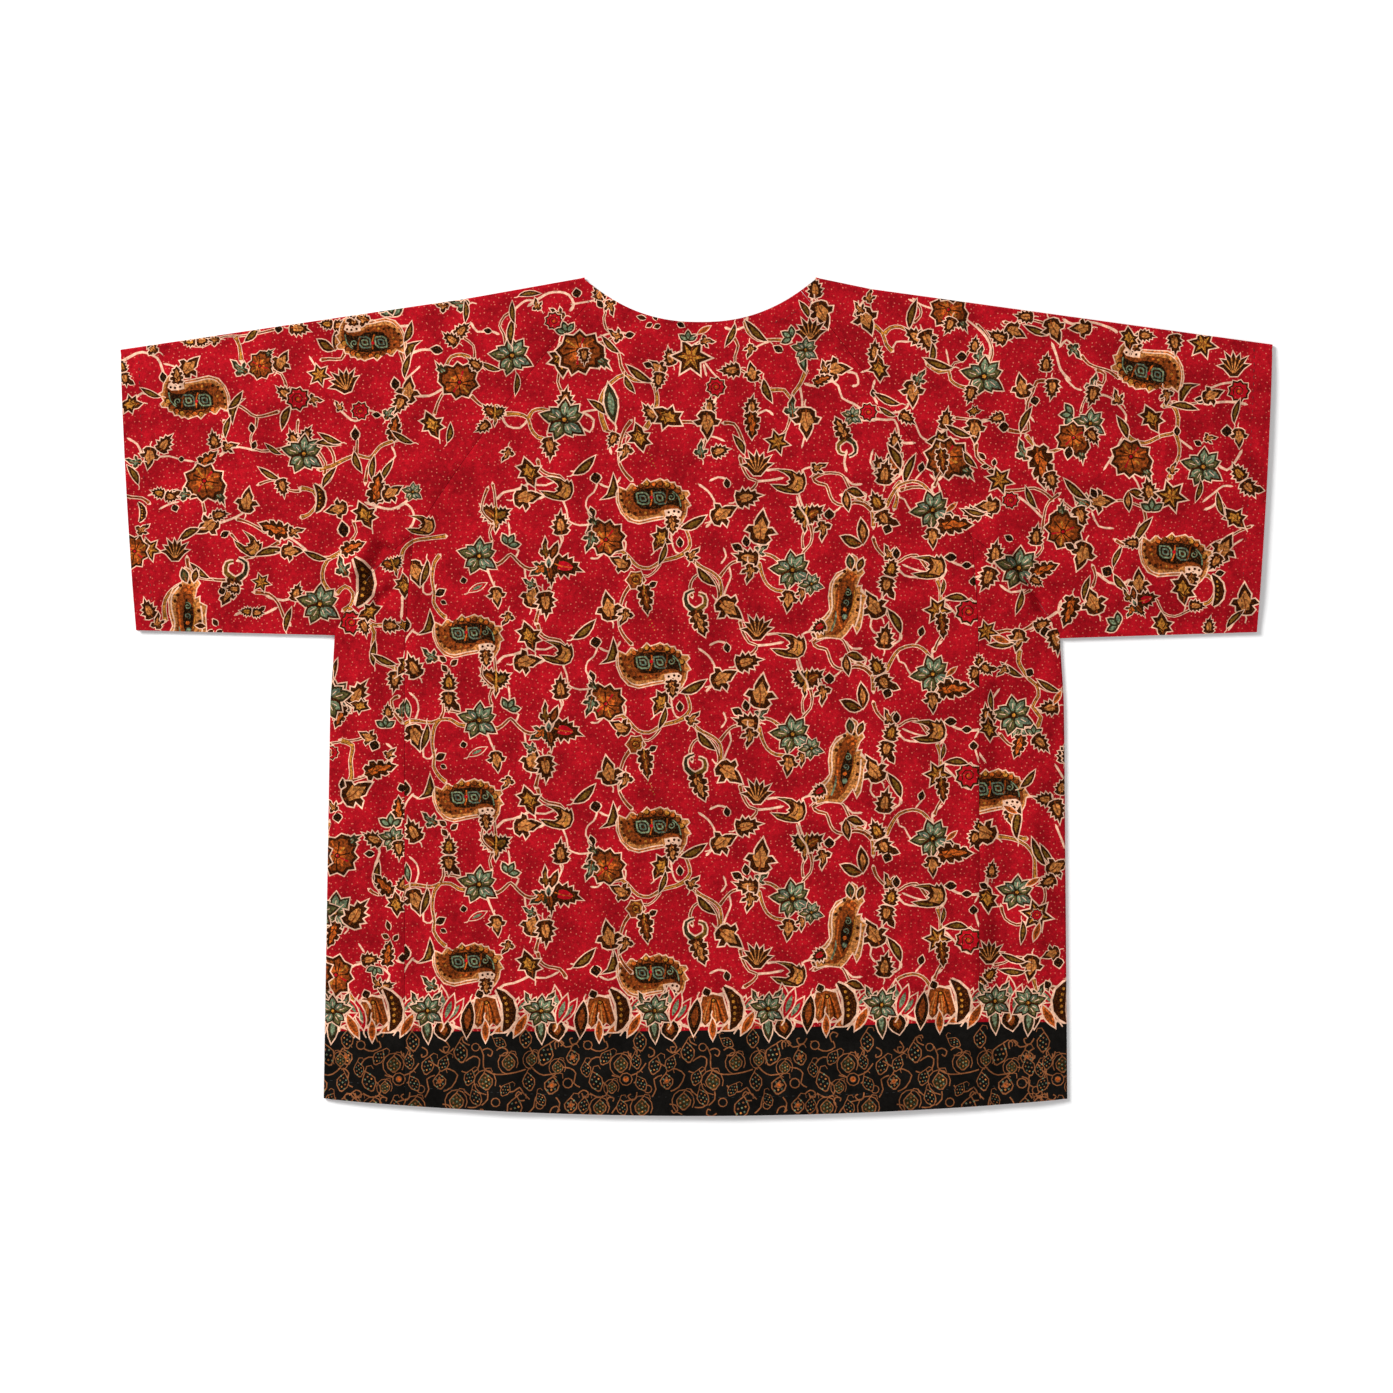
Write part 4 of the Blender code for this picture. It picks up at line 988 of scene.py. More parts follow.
def tulip():
    """Lily bud: ochre cup with a spiky rim, between two long sepals.

    The outline was traced point by point from the photo.
    """
    body = places("2.1,-3.4 6.4,-0.6 8.2,5 7.4,9.8 5.6,13.8 3.8,11.6 2.2,14.2 0.6,12.2 -3.6,14.6 -9.4,15 "
                  "-16.6,14.8 -9.6,12.4 -5.4,9.6 -4.2,7.4 -6.6,5.6 -4.6,4.2 -7.4,2.4 -13,2.6 -19.2,2.4 -14,-1.6 "
                  "-8,-3.2 -2,-3.6")
    cup = places("2,-1.8 5.2,0.8 6.2,5.2 4.8,9.6 1.4,10.4 -2.6,12.6 -0.8,8.4 -1.8,4.6 -6,0.8 -2,0")
    return [*waxed("dark", body), ("ochre", cup), *strokes(
        "gold 1.1 -0.6 2,-1 3,3 3,8; olive 0.7 0 -15.6,1.1 -9,-0.8 -3,-1.8; olive 0.5 0 -12.6,14.1 -8,13.6 -4,13; "
        "dark 0.35 0 -1,1 1.2,4 1.4,7.6")]


def butterfly():
    """Pair of toothed leaves set like wings on a stalk."""
    wings = layered(moved(leaf(14, 11, 3, heart="rust", vein="gold"), turn=50),
                    moved(leaf(12, 6, 2, heart="ochre"), turn=188, y=2),
                    moved(leaf(12, 10, 3, skin="black", heart="olive"), turn=-58))
    return wings + strokes("gold 0.8 -0.4 0,-4 0.5,4 0,9")


def carnation():
    """Ragged orange flower with dark hollows, pale arcs at its top and a grey side leaf."""
    body = places("-13,3 -11.4,8 -7.6,8.6 -6.4,12.4 -2.2,10.4 1,13 4,10 8,11 8.4,7 12,4.4 10,0.4 11.6,-4 7,-6 "
                  "4,-10 0,-8 -4,-9.6 -6,-5.6 -11,-5 -10.4,-0.8")
    heart = [*waxed("dark", body), ("rust", scaled(body, 0.82)), ("orange", scaled(body[::2], 0.5))]
    for k in range(11):
        a = math.radians(33 * k - 8)
        line = [around(1.6, a), around((9.6, 7.6, 8.8)[k % 3], a + 0.16, 0.86)]
        heart.append(stroke(("dark", "orange", "red", "dark", "gold")[k % 5], 0.25, 0.4, line))
    for x, y in ((-6, 7.6), (0.4, 9.4), (5.4, 7.8)):
        heart.append(stroke("cream", 0.4, 0.0, [(x - 2.2, y - 0.8), (x, y + 0.5), (x + 2.2, y - 0.8)]))
    heart += [disc(1.9, "dark", 0, 0.4, 6), disc(1.1, "red", 0, 0.4, 5)]
    return layered(moved(leaf(15, 8, 3, bend=0.2, skin="sea", heart="teal"), x=-4, y=3, turn=46), heart)


def blossom():
    """Mixed blossom: leafy petals, a grey drop at its heart and a large red-hearted leaf."""
    drop = [("cream", petal(7.4, 4.4, 0.7)), ("blue", petal(6.8, 3.4)), ("black", petal(3.4, 1.6))]
    return layered(
        moved(leaf(22, 15, 3, heart="red", vein="orange"), x=3, turn=-104),
        moved(leaf(17, 8, 3, heart="rust", vein="dark"), turn=188),
        moved(leaf(14, 10, 2, skin="sea", heart="orange"), x=-2, turn=138),
        moved(leaf(14, 6, 1, heart="rust", vein=None), x=1, y=2, turn=-22),
        moved(leaf(17, 7, 2, heart="olive"), x=-1, y=2, turn=12)) + moved(drop, y=-3)


def paisley():
    """Curved teardrop that lies on its side: spiked back, drawn rims, rings in a black core, leafy hooked tail.

    The outline was traced point by point from the photo.
    """
    edge = places("-22.6,5.5 -17.9,3.4 -14.8,7.4 -12.6,7.2 -10.8,5.5 -7.2,7.6 -4,10.9 -1.5,8.6 2.1,9.8 4.9,10.9 "
                  "7.4,9.4 9.6,10.2 11.4,8.2 14.6,8.4 15.6,6 18.6,5.4 19.4,2.8 23.4,2.6 24.8,0 22.4,-2.4 "
                  "25.6,-7.4 23.1,-8.8 22.4,-13.8 19.6,-18.8 15.6,-22.6 12.4,-22 12,-17 6.8,-16.6 -1.5,-18.2 "
                  "-9.4,-20 -16.5,-18 -21.5,-12.4 -24.4,-5.2 -24.7,0.5")
    field = places("-20.8,3 -16.5,1.6 -13,4.4 -8,5.4 -3,8 2,7.6 8,7.6 13,5.8 17.5,2.4 20.4,-3 21.2,-9 19.4,-15 "
                   "16,-19 15.4,-12 12,-9.2 6,-10.4 3,-13.2 -4,-14.2 -11,-14.8 -16,-11.6 -20,-5.6")
    core = places("-13,0.5 -9,3 -3,4 3,4.6 9,4.2 14,2.2 17.6,-1.5 19.2,-7.5 18.8,-11 16.8,-8 13,-6.8 8,-7.2 "
                  "5,-9.2 -2,-10 -8,-9.4 -12.4,-5")
    low = wave(places("-22.9,3.6 -22.6,-4.4 -19.9,-10.9 -15.4,-15.8 -9,-17.6 -1,-15.8 7,-14.6"))
    shapes = [("cream", edge), ("ochre", grown(edge, -0.75)), ("rust", field), stroke("cream", 0.42, 0.0, low),
              stroke("orange", 0.3, 0.0, scaled(low, 0.97, 1.055))]
    for k, (x, y) in enumerate(places("-12,3.4 -8,5 -4,6.8 0.6,6.4 5,6.9 9.6,6 13.2,4.6 16.6,1.8 19.2,-2.4")):
        shapes += [disc(2.2, "dark", x, y, 7), disc(1.6, ("orange", "rust", "gold")[k % 3], x - 0.3, y + 0.4, 6)]
    shapes.append(("black", core))
    for x, y, colours in ((-6.6, -3, "teal black blue black"), (4.6, -2.8, "blue black teal dark")):
        for k, colour in enumerate(colours.split()):
            drop = petal(11.4 - 2.7 * k, 9.4 - 2.3 * k)
            shapes += moved([(colour, drop)], x + 4.2 - 1.0 * k, y - 3.0 + 0.8 * k, 52)
    shapes += [curl(1.2, 2.6, 0.7, "teal", 12, -1.8), *strokes(
        "teal 0.4 0 13,2 17,-2 18.4,-8; orange 0.5 0 -1,2.4 -0.6,-3 -2,-8; rust 0.5 0 9.4,3 9,-2 8,-6", True),
        disc(1.3, "red", -1, -2, 5)]
    shapes += discs(1.25, 5, "dark", "-21,0.2 -20.4,-4 -18.8,-8.2 -15.9,-11.6 -12,-12.6")
    shapes += discs(0.95, 5, "dark gold orange dark", "-8.4,-11.8 -4.8,-12.2 -1.2,-11.8 2.2,-11 -15.8,-0.6 -15.4,-5.4 "
                    "-16.8,-2.8")
    shapes += [("cream", places("7.4,-10.6 12,-9.6 16.4,-9.4 19.2,-11.4 18.2,-14.6 13,-15 8,-13.8")),
               *discs(1.0, 5, "dark", "10.4,-11.9 14,-11.2 17,-11.6 13,-13.6")]
    head = waxed("dark", places("-26.1,13.6 -24.4,9 -23.2,4 -24.4,-1 -29,-2.4 -34.4,-3.4 -30.2,0 -28,6"))
    heart = places("-26.2,9 -25.2,4 -26,0.2 -30,-1.6 -27.6,3.4")
    return [*head, ("olive", heart), *shapes, *moved(leaf(13, 9.5, 4, heart="ochre"), x=12.4, y=-13.4, turn=184)]


def tall_paisley():
    """Slender paisley that stands up, with an open rim down its left and leaves at both ends.

    The outline was traced point by point from the photo.
    """
    edge = places("5.6,26.6 3.4,21 1.4,16.4 -4.9,13.5 -9.1,6.4 -10.2,-2.2 -9.4,-10.7 -12.7,-15 -17,-18 "
                  "-20.6,-21.4 -23.4,-24.8 -18.6,-26.6 -17.7,-31 -11.3,-29.4 -1.3,-30.5 2.3,-27 6.2,-21.4 "
                  "8.7,-27.6 11.8,-22.6 13.2,-15 13.9,-7.9 16,-1.6 11.8,1.6 12.8,5.8 9.4,5 11.4,10.2 14.4,13.5 "
                  "12.6,17.1 15.3,22.8 10.4,20.4 9.4,24")
    body = places("3,15 -1.6,9 -5.2,1 -5.4,-9 -7.8,-16 -5,-21.6 -12,-27.4 -4,-27.6 1,-22.4 4.8,-15 7.4,-7 8.2,1 "
                  "7.4,6 8.8,12.6")
    core = places("3,5.6 0.6,0 -1.6,-7 -2,-14 0,-20 3,-15 5.6,-8 6.2,-1")
    return [
        ("cream", edge), ("ochre", grown(edge, -0.75)), ("rust", body),
        *strokes("cream 0.5 0 0,14 -5.8,9 -7.7,1 -7.3,-9 -9.6,-15 -14,-19.6; "
                 "cream 0.5 0 11.6,-1 11.2,-9 9.6,-17 7.6,-22", True),
        ("black", core), curl(1.3, 2.5, 0.7, "teal", 3, 0.4), curl(-1.2, 2.2, 0.7, "blue", 1.6, -6),
        disc(1.4, "orange", 1, -10.6, 6), disc(1.9, "blue", 0.9, -15.4, 6), disc(1.1, "teal", 0.9, -15.4, 5),
        *strokes("teal 0.6 0 -4.6,-12 -5.4,-18 -8,-25; orange 0.5 0 -2.8,2 -3.6,-6 -4,-14 -1,-23; "
                 "gold 0.4 0 7.4,2 7,-6 4,-15", True),
        *discs(1.3, 6, "orange", "3.4,11 6,9 8.2,10.6 5.8,12.8"),
        *discs(1.3, 6, "dark", "-2,8.6 0.8,14.4 7,15.6 -4.6,5 9.6,-4 9.2,-11 -16,-24 -13,-26.6"),
        *moved(leaf(11, 8, 3, skin="dark", heart="red"), x=-12, y=-20, turn=118),
        *moved(leaf(10, 6, 1, skin="sea", heart="moss"), x=5, y=15.6, turn=6),
        *moved(leaf(9, 5, 1, skin="dark", heart="olive"), x=9.6, y=15, turn=-22)]


def clover(radius):
    """Small three-lobed bud in grey green."""
    return layered(*(moved(leaf(radius, radius * 0.62, 1, skin="sea", heart="teal", vein=None), turn=55 * (k - 1))
                     for k in range(3)))


def fruit():
    """Two ochre fruits in dark leaves."""
    return layered(moved(leaf(14, 10, 3, heart="gold"), y=1, turn=14), moved(leaf(14, 11, 3, heart="ochre"), turn=196),
                   moved(bud(8, 5, "dark"), x=4, y=-7, turn=-120))


def spray():
    """Stem with small dark leaves."""
    leaves = ((9, 0, 16, 6), (7, -2, 9, 52), (7, 2, 6, -48), (7, -1, 1, 40))
    return layered(*(moved(bud(length, 4.6, "dark"), *place) for length, *place in leaves))


def horns():
    """Curled grey-green horns over a hatched ochre fruit."""
    shapes = []
    for text, skin in (("0,0 -6,4 -7,11 -2,14", "sea"), ("0,0 6,5 5,11 1,12", "olive")):
        line = wave(places(text))
        shapes += [stroke("cream", 2.8, -1.3, line), stroke(skin, 1.8, -1.3, line)]
    return layered(shapes, moved(leaf(20, 12, 4, bend=-0.1, heart="ochre"), y=2, turn=200))


def folded_leaf():
    """Large dark leaf folded in a V."""
    return layered(moved(leaf(15, 8, 1, bend=0.25, skin="dark", heart="olive"), turn=62),
                   moved(leaf(17, 8, 1, bend=-0.2, skin="dark", heart="ochre"), turn=-30))


def rose():
    """Round red-hearted flower in a scalloped wax edge."""
    return waxed("dark", scallops(10.2)) + [
        ("red", scallops(8.2)), curl(1.6, 5.6, 0.9, "dark"), disc(1.5, "orange", sides=6)]


def sprig(length, width, lobes, bend, skin, heart, vein):
    """Single leaf on a short stalk, centred on its middle."""
    stalk = strokes("cream 0.5 -0.15 0,1 0.9,-2 0.2,-4.6")
    return moved(stalk + leaf(length, width, lobes, bend, skin, heart, vein), y=-length / 2)


def crescent():
    """Curved dark leaf with a row of seeds."""
    line = wave(places("0,-11 4,-5 4,4 -1,11"))
    shapes = [("cream", ribbon(line, lambda t: 1.4 + 3.2 * math.sin(math.pi * t))),
              ("dark", ribbon(line, lambda t: 0.3 + 3.1 * math.sin(math.pi * t)))]
    return shapes + [disc(0.9, "gold", 3.6 - abs(k) * 0.4, k * 3.0, 5) for k in (-2, -1, 0, 1, 2)]


def seed_head(width, height, wrapped=False, eye=None):
    """Small border flower: pointed ring with grey and ochre dots, some wrapped in an open curl."""
    inner = [(x, y + 1.0) for x, y in petal(height - 2.0, width - 1.6)]
    shapes = moved([("line", petal(height, width)), ("sea" if wrapped else "night", inner)], y=-height / 2)
    for k in range(9):
        x, y = width * (-0.2, 0.02, 0.22)[k % 3], height * (-0.32 + 0.075 * k)
        shapes.append(disc(0.74, ("teal", "ochre", "blue", "line")[k % 4], x, y, 4))
    if wrapped:
        wrap = []
        for k in range(11):
            a = -0.6 + 5.2 * k / 10
            reach = 0.66 + 0.14 * (k / 10) ** 2
            wrap.append((width * reach * math.cos(a), 0.92 * height * reach * math.sin(a)))
        shapes.append(stroke("line", 0.34, 0.0, wrap))
    top = 0.48 * height
    shapes.append(stroke("line", 0.36, -0.12, [(0, top), (2.0, top + 2.6), (5.0, top + 2.2), (5.6, top - 0.4)]))
    if eye:
        shapes += [disc(width * 0.2, "line", sides=7), disc(width * 0.11, eye, sides=5)]
    return shapes


def fan():
    """Fan of short strokes with a scalloped cream edge, for the top of the border."""
    points = places("-6.5,9.5 0,11 6.5,9.5 10.5,-5 7.5,-8.5 4.5,-6.2 1.5,-9.8 -1.5,-6.6 -5,-9.6 -7.6,-6.4 -10.5,-7.4")
    shapes = [("cream", scaled(points, 1.12)), ("rust", points)]
    for k in range(9):
        x = -6.4 + 1.6 * k
        line = [(0.45 * x, 8.0), (x, -1.0), (1.25 * x, -6.8)]
        shapes.append(stroke(("orange", "ochre", "orange", "dark")[k % 4], 0.3, 0.3, line))
    return shapes + [disc(1.8, "dark", 0.5, 7.0, 6), disc(1.0, "gold", 0.5, 7.0, 5)]


def ring(radius, middle="night"):
    """Thin round ring."""
    return [disc(radius, "line", sides=9), disc(radius - 0.8, middle, sides=9)]


def vine(points, thick):
    """Wax-drawn stem: two cream edges with a brown core, a little wider at its ends."""
    line = wave(points)

    def half(t, less):
        return thick * (0.42 + 0.22 * (2 * t - 1) ** 2) - less

    (x0, y0), (x1, y1), (x2, y2), (x3, y3) = line[:2] + line[-2:]
    ends = [(1.6 * x0 - 0.6 * x1, 1.6 * y0 - 0.6 * y1), *line, (1.6 * x3 - 0.6 * x2, 1.6 * y3 - 0.6 * y2)]
    shapes = [("cream", ribbon(ends, lambda t: 0.08 * thick if t in (0.0, 1.0) else half(t, 0.0)))]
    if thick > 1.9:
        shapes += [("rust", ribbon(line, lambda t: half(t, 0.52)))]
    if thick > 2.7:
        shapes += [("gold", ribbon(line, lambda t: half(t, 1.0)))]
    return shapes


MOTIFS = {
    "beads": discs(0.55, 5, "ochre", "-3,7 -1.6,4.6 -2.6,2.2 -0.4,0.6 0.8,-2 -0.8,-3.6 1.6,-5 2.6,-7"),
    "flower": star_flower(12.2), "daisy": star_flower(9.5), "paisley": paisley(), "tall": tall_paisley(),
    "tulip": tulip(), "wings": butterfly(), "frill": carnation(), "blossom": blossom(), "fruit": fruit(),
    "spray": moved(spray(), y=-10), "horns": horns(), "folded": folded_leaf(), "rose": rose(), "clover": clover(9.5),
    "spiky": comb(11.5), "knot": knot(), "star": spiky(8.5, 6, "gold"), "bud": moved(bud(8, 5.5), y=-4),
    "drop": moved(bud(7, 7), y=-3.5), "moon": crescent(), "fan": fan(), "oval": seed_head(10, 14.5),
    "round": seed_head(10.5, 12, True), "eyed": seed_head(9.5, 11, False, "orange"), "ring": ring(3.6),
    "rings": ring(5.6) + ring(2.6, "orange"),
}
# Single leaves: motif, length, width, lobes, bend, rim, heart and vein
for row in """leaf 17 11 3 0.1 dark ochre rust; broad 18 13 5 -0.08 dark gold rust; small 13 9 2 0.12 dark ochre rust;
long 21 6 1 0.25 dark olive -; lobed 17 12 6 -0.1 dark ochre rust; fern 23 13 4 0.12 dark orange rust;
pendant 22 11 4 0 dark rust gold; sage 15 8.5 2 0 sea teal rust; fin 18 7 1 -0.35 dark olive -;
pale 17 6 1 0 red teal -; tear 18 6.5 1 0 sea teal -; tongue 13 4.5 1 0 orange rust -;
hook 23 9 1 -0.12 black rust -; bell 15 12.5 1 0 black rust gold""".split(";"):
    motif, length, width, lobes, bend, skin, heart, vein = row.split()
    MOTIFS[motif] = sprig(float(length), float(width), int(lobes), float(bend), skin, heart, vein.strip("-"))


def on_cloth(x, y):
    """Millimetres in plan of a place in the photo's pixels, which count right and down."""
    return ((x - GRID_X) * GRID_STEP, (GRID_Y - y) * GRID_STEP)


def line_of(moves):
    """Line in millimetres, from its first place on the grid and the steps that follow."""
    return [on_cloth(*place) for place in np.cumsum(places(moves), axis=0).tolist()]


def motif_rows(chart):
    """Rows of a chart of motifs: motif, place in millimetres, turn, size and whether mirrored."""
    rows = []
    for text in chart.split(";"):
        kind, x, y, size, *turn = text.split()
        size = float(size) / 100
        rows.append((kind, on_cloth(float(x), float(y)), float(turn[0]) if turn else 0.0, abs(size), size < 0))
    return rows


def stem_rows(chart):
    """Rows of a chart of stems: thickness and line in millimetres."""
    rows = [text.split(maxsplit=1) for text in chart.split(";")]
    return [(float(thick) / 10, line_of(moves)) for thick, moves in rows]


def drawn(motifs, stems, wanted, x=0.0, y=0.0):
    """Shapes of the motifs and stems whose middle is wanted, moved as a whole; stems lie underneath."""
    parts, shapes = [], []
    for thick, line in stems:
        if wanted(*(np.mean(line, axis=0) + (x, y))):
            parts.append(moved(vine(line, thick), x, y))
    for kind, (px, py), turn, size, mirrored in motifs:
        if wanted(px + x, py + y):
            shapes += moved(MOTIFS[kind], px + x, py + y, turn, size, mirrored)
    return layered(*parts) + shapes


def body_print(wanted):
    """Repeats of the body print, wherever it is wanted."""
    motifs, stems = motif_rows(BODY), stem_rows(BODY_VINES)
    shapes = []
    for k in range(-2, 6):
        shapes += drawn(motifs, stems, wanted, y=k * REPEAT_HEIGHT)
    return shapes


def border_rise(x):
    """How much the top of the border lies above its level, in millimetres."""
    return BORDER_SLOPE * min(max(x - BORDER_TURN, 0.0), BORDER_RUN)


def border_print(left, right):
    """Black border: field of small flowers, and the row of large flowers on its top edge."""
    top = [(x, BORDER_TOP + border_rise(x)) for x in np.linspace(right, left, BORDER_TOP_POINTS)]
    shapes = [("night", [(left, BORDER_LOW), (right, BORDER_LOW), *top])]

    def wanted(x, y):
        return left - BORDER_MARGIN < x < right + BORDER_MARGIN

    flowers, rows = motif_rows(FIELD), motif_rows(ROW)
    lines = [line_of(text) for text in FIELD_LINES.split(";")]
    for k in range(-3, 5):
        shift = k * 2 * ROW_REPEAT
        for line in lines:
            if wanted(line[0][0] + shift, 0):
                shapes += moved([stroke("line", FIELD_LINE, 0.0, wave(line))], x=shift)
        shapes += drawn(flowers, [], wanted, x=shift)
    for k in range(-5, 8):
        shift = k * ROW_REPEAT
        shapes += drawn(rows, stem_rows(ROW_VINES), wanted, x=shift, y=border_rise(shift + ROW_MIDDLE))
    return shapes


def winds(points, starts, ends):
    """Which points the edges from starts to ends wind round."""
    x, y = points[:, 0, None], points[:, 1, None]
    x0, y0 = starts.T
    x1, y1 = ends.T
    up, down = (y0 <= y) & (y1 > y), (y0 > y) & (y1 <= y)
    rise = np.where(y1 == y0, 1.0, y1 - y0)
    left = x < x0 + (y - y0) / rise * (x1 - x0)
    return np.count_nonzero(up & left, axis=1) != np.count_nonzero(down & left, axis=1)


def inside(points, outline):
    """Which points lie inside a closed outline."""
    return winds(points, outline, np.roll(outline, -1, axis=0))


def inside_many(points, outline):
    """Inside test for many points and a long outline, in level strips."""
    found = np.zeros(len(points), bool)
    order = np.argsort(points[:, 1])
    following = np.roll(outline, -1, axis=0)
    low = np.minimum(outline[:, 1], following[:, 1])
    high = np.maximum(outline[:, 1], following[:, 1])
    for k in range(0, len(points), STRIP):
        strip = order[k:k + STRIP]
        y0, y1 = points[strip[0], 1], points[strip[-1], 1]
        beside = (low <= y1) & (high >= y0)
        found[strip] = winds(points[strip], outline[beside], following[beside])
    return found


def painted(flat, triangles, shapes):
    """Colour number of each triangle: that of the last shape drawn over its centre."""
    centres = flat[triangles].mean(axis=1)
    colour = np.zeros(len(centres), int)
    order = np.argsort(centres[:, 1])
    heights = centres[order, 1]
    for name, points in shapes:
        points = np.array(points)
        (x0, y0), (x1, y1) = points.min(axis=0), points.max(axis=0)
        near = order[np.searchsorted(heights, y0):np.searchsorted(heights, y1)]
        near = near[(centres[near, 0] > x0) & (centres[near, 0] < x1)]
        if len(near):
            colour[near[inside(centres[near], points)]] = TONES.index(name)
    return colour


def cut_cloth(points, edges, merge, outline):
    """Triangles inside an outline that keep the given edges, and the points that they use."""
    result = delaunay_2d_cdt([Vector(p) for p in points], edges, [], 0, merge, False)
    flat, triangles = np.array([(v.x, v.y) for v in result[0]]), np.array(result[2])
    triangles = triangles[inside_many(flat[triangles].mean(axis=1), outline)]
    used, triangles = np.unique(triangles, return_inverse=True)
    return flat[used], triangles.reshape(-1, 3)


def printed_side(edge, lines, shapes, points):
    """Triangles of the printed face, cut along its own edge, lines and the print's shapes."""
    verts, edges = [], []
    paths = [(edge, 0)] + [(line, 1) for line in lines] + [(shape, 0) for _, shape in shapes]
    for path, is_open in paths:
        first, count = len(verts), len(path)
        edges += [(first + k, first + (k + 1) % count) for k in range(count - is_open)]
        verts += list(path)
    return cut_cloth([*verts, *points], edges, PRINT_MERGE, edge)


def wrong_side(edge, flat, rim, corners, points):
    """Coarse triangles of the plain side, on the printed face's own rim points."""
    number = {k: n for n, k in enumerate(corners)}
    points = points[inside_many(points, drawn_in(edge, MARK_MARGIN))]
    points = np.vstack((flat[corners], points, grid_points(edge, 2 * GROUND_GRID, WRONG_MARGIN)))
    return cut_cloth(points, [(number[a], number[b]) for a, b in rim], RIM_MERGE, edge)


def grid_points(outline, spacing, margin):
    """Evenly staggered points inside an outline."""
    (x0, y0), (x1, y1) = outline.min(axis=0), outline.max(axis=0)
    points = []
    for row, y in enumerate(np.arange(y0 + spacing / 2, y1, spacing * GRID_ROWS)):
        for x in np.arange(x0 + spacing * (0.25 + 0.5 * (row % 2)), x1, spacing):
            points.append((x, y))
    points = np.array(points)
    return points[inside_many(points, drawn_in(outline, margin))]


def rim_edges(triangles):
    """Edges with a triangle on one side only, each in its triangle's own direction."""
    edges = np.concatenate([triangles[:, (0, 1)], triangles[:, (1, 2)], triangles[:, (2, 0)]])
    size = triangles.max() + 1
    forward = edges[:, 0] * size + edges[:, 1]
    backward = edges[:, 1] * size + edges[:, 0]
    return edges[~np.isin(forward, backward)]


def twins_of(flat, corners, back_flat):
    """For each point of the face, the number of the wrong side's point at the same place, or -1."""
    match = {tuple(p): k for k, p in enumerate(np.round(back_flat, 2).tolist())}
    twin = np.full(len(flat), -1)
    for k in corners:
        twin[k] = match.get(tuple(np.round(flat[k], 2).tolist()), -1)
    return twin


def normals_of(surface, flat, face, side_sign):
    """Directions straight out of the printed face, whose own points are face."""
    along = surface(flat + (NORMAL_REACH, 0)) - face
    normal = np.cross(along, surface(flat + (0, NORMAL_REACH)) - face) * side_sign
    return normal / np.linalg.norm(normal, axis=1)[:, None]


def linear(rgb):
    """Colour of a printed tone, from its 0 to 255 screen values."""
    part = np.array(rgb) / 255
    return np.where(part <= 0.04045, part / 12.92, ((part + 0.055) / 1.055) ** 2.4)


def cloth_piece(name, outline, surface, shapes, guides, sign, wrong_shapes, wrong_points, creased):
    """One cut piece: printed face, plain wrong side and the raw edge between them.

    outline, guides and shapes are on the flat cloth: metres, metres and millimetres. creased
    holds the close points along the creases, in metres.
    """
    edge = drawn_in(outline, SEAM_SHARE) * 1000
    rows = [drawn_in(outline, SEAM_SHARE + inset) * 1000 for inset in EDGE_ROWS]
    rows = [np.vstack((row, row[:1])) for row in rows] + [guide * 1000 for guide in guides]
    creased = 1000 * creased[inside_many(creased, drawn_in(outline, CREASE_MARGIN))]
    points = np.vstack((grid_points(edge, GROUND_GRID, FACE_MARGIN), creased))
    flat, triangles = printed_side(edge, rows, shapes, points)
    rim = rim_edges(triangles)
    corners = np.unique(rim)
    back_flat, back_triangles = wrong_side(edge, flat, rim, corners, np.vstack((wrong_points * 1000, creased)))
    tones, back_tones = painted(flat, triangles, shapes), painted(back_flat, back_triangles, wrong_shapes)
    back_tones[back_tones == TONES.index("ground")] = TONES.index("wrong")

    face, back = surface(flat / 1000), surface(back_flat / 1000)
    face_normal = normals_of(surface, flat / 1000, face, sign)
    back_normal = normals_of(surface, back_flat / 1000, back, sign)
    back -= back_normal * CLOTH
    count, twin = len(face), twins_of(flat, corners, back_flat)
    rim = rim[(twin[rim] >= 0).all(axis=1) & (twin[rim[:, 0]] != twin[rim[:, 1]])]
    if sign < 0:
        triangles, back_triangles, rim = triangles[:, ::-1], back_triangles[:, ::-1], rim[:, ::-1]
    quads = np.column_stack((rim[:, 1], rim[:, 0], count + twin[rim[:, 0]], count + twin[rim[:, 1]]))
    threes = np.vstack((triangles, back_triangles[:, ::-1] + count))
    mesh = new_mesh(name, np.vstack((face, back)), threes, quads)
    piece = shown(name, mesh)

    outward = np.cross(face[rim[:, 1]] - face[rim[:, 0]], face_normal[rim[:, 0]])
    outward /= np.linalg.norm(outward, axis=1)[:, None] + 1e-12
    first, last = 0.5 * face_normal[rim[:, 0]], 0.5 * face_normal[rim[:, 1]]
    rim_normals = np.stack((outward + last, outward + first, outward - first, outward - last), axis=1)
    mesh.shade_smooth()
    mesh.normals_split_custom_set(np.vstack((
        face_normal[triangles.ravel()], -back_normal[back_triangles[:, ::-1].ravel()],
        rim_normals.reshape(-1, 3))).tolist())

    rim_tones = np.full(4 * len(quads), TONES.index("wrong"))
    tones = np.concatenate((np.repeat(tones, 3), np.repeat(back_tones, 3), rim_tones))
    table = np.array([[*linear(PALETTE[tone]), ZONES.get(tone, MOTIF_ZONE)] for tone in TONES])
    mesh.attributes.new("print", "FLOAT_COLOR", "CORNER").data.foreach_set("color", table[tones].ravel())
    both = np.vstack((flat, back_flat)) / 1000
    cloth = mesh.attributes.new("cloth", "FLOAT_VECTOR", "POINT")
    cloth.data.foreach_set("vector", np.column_stack((both, np.zeros(len(both)))).ravel())
    return piece


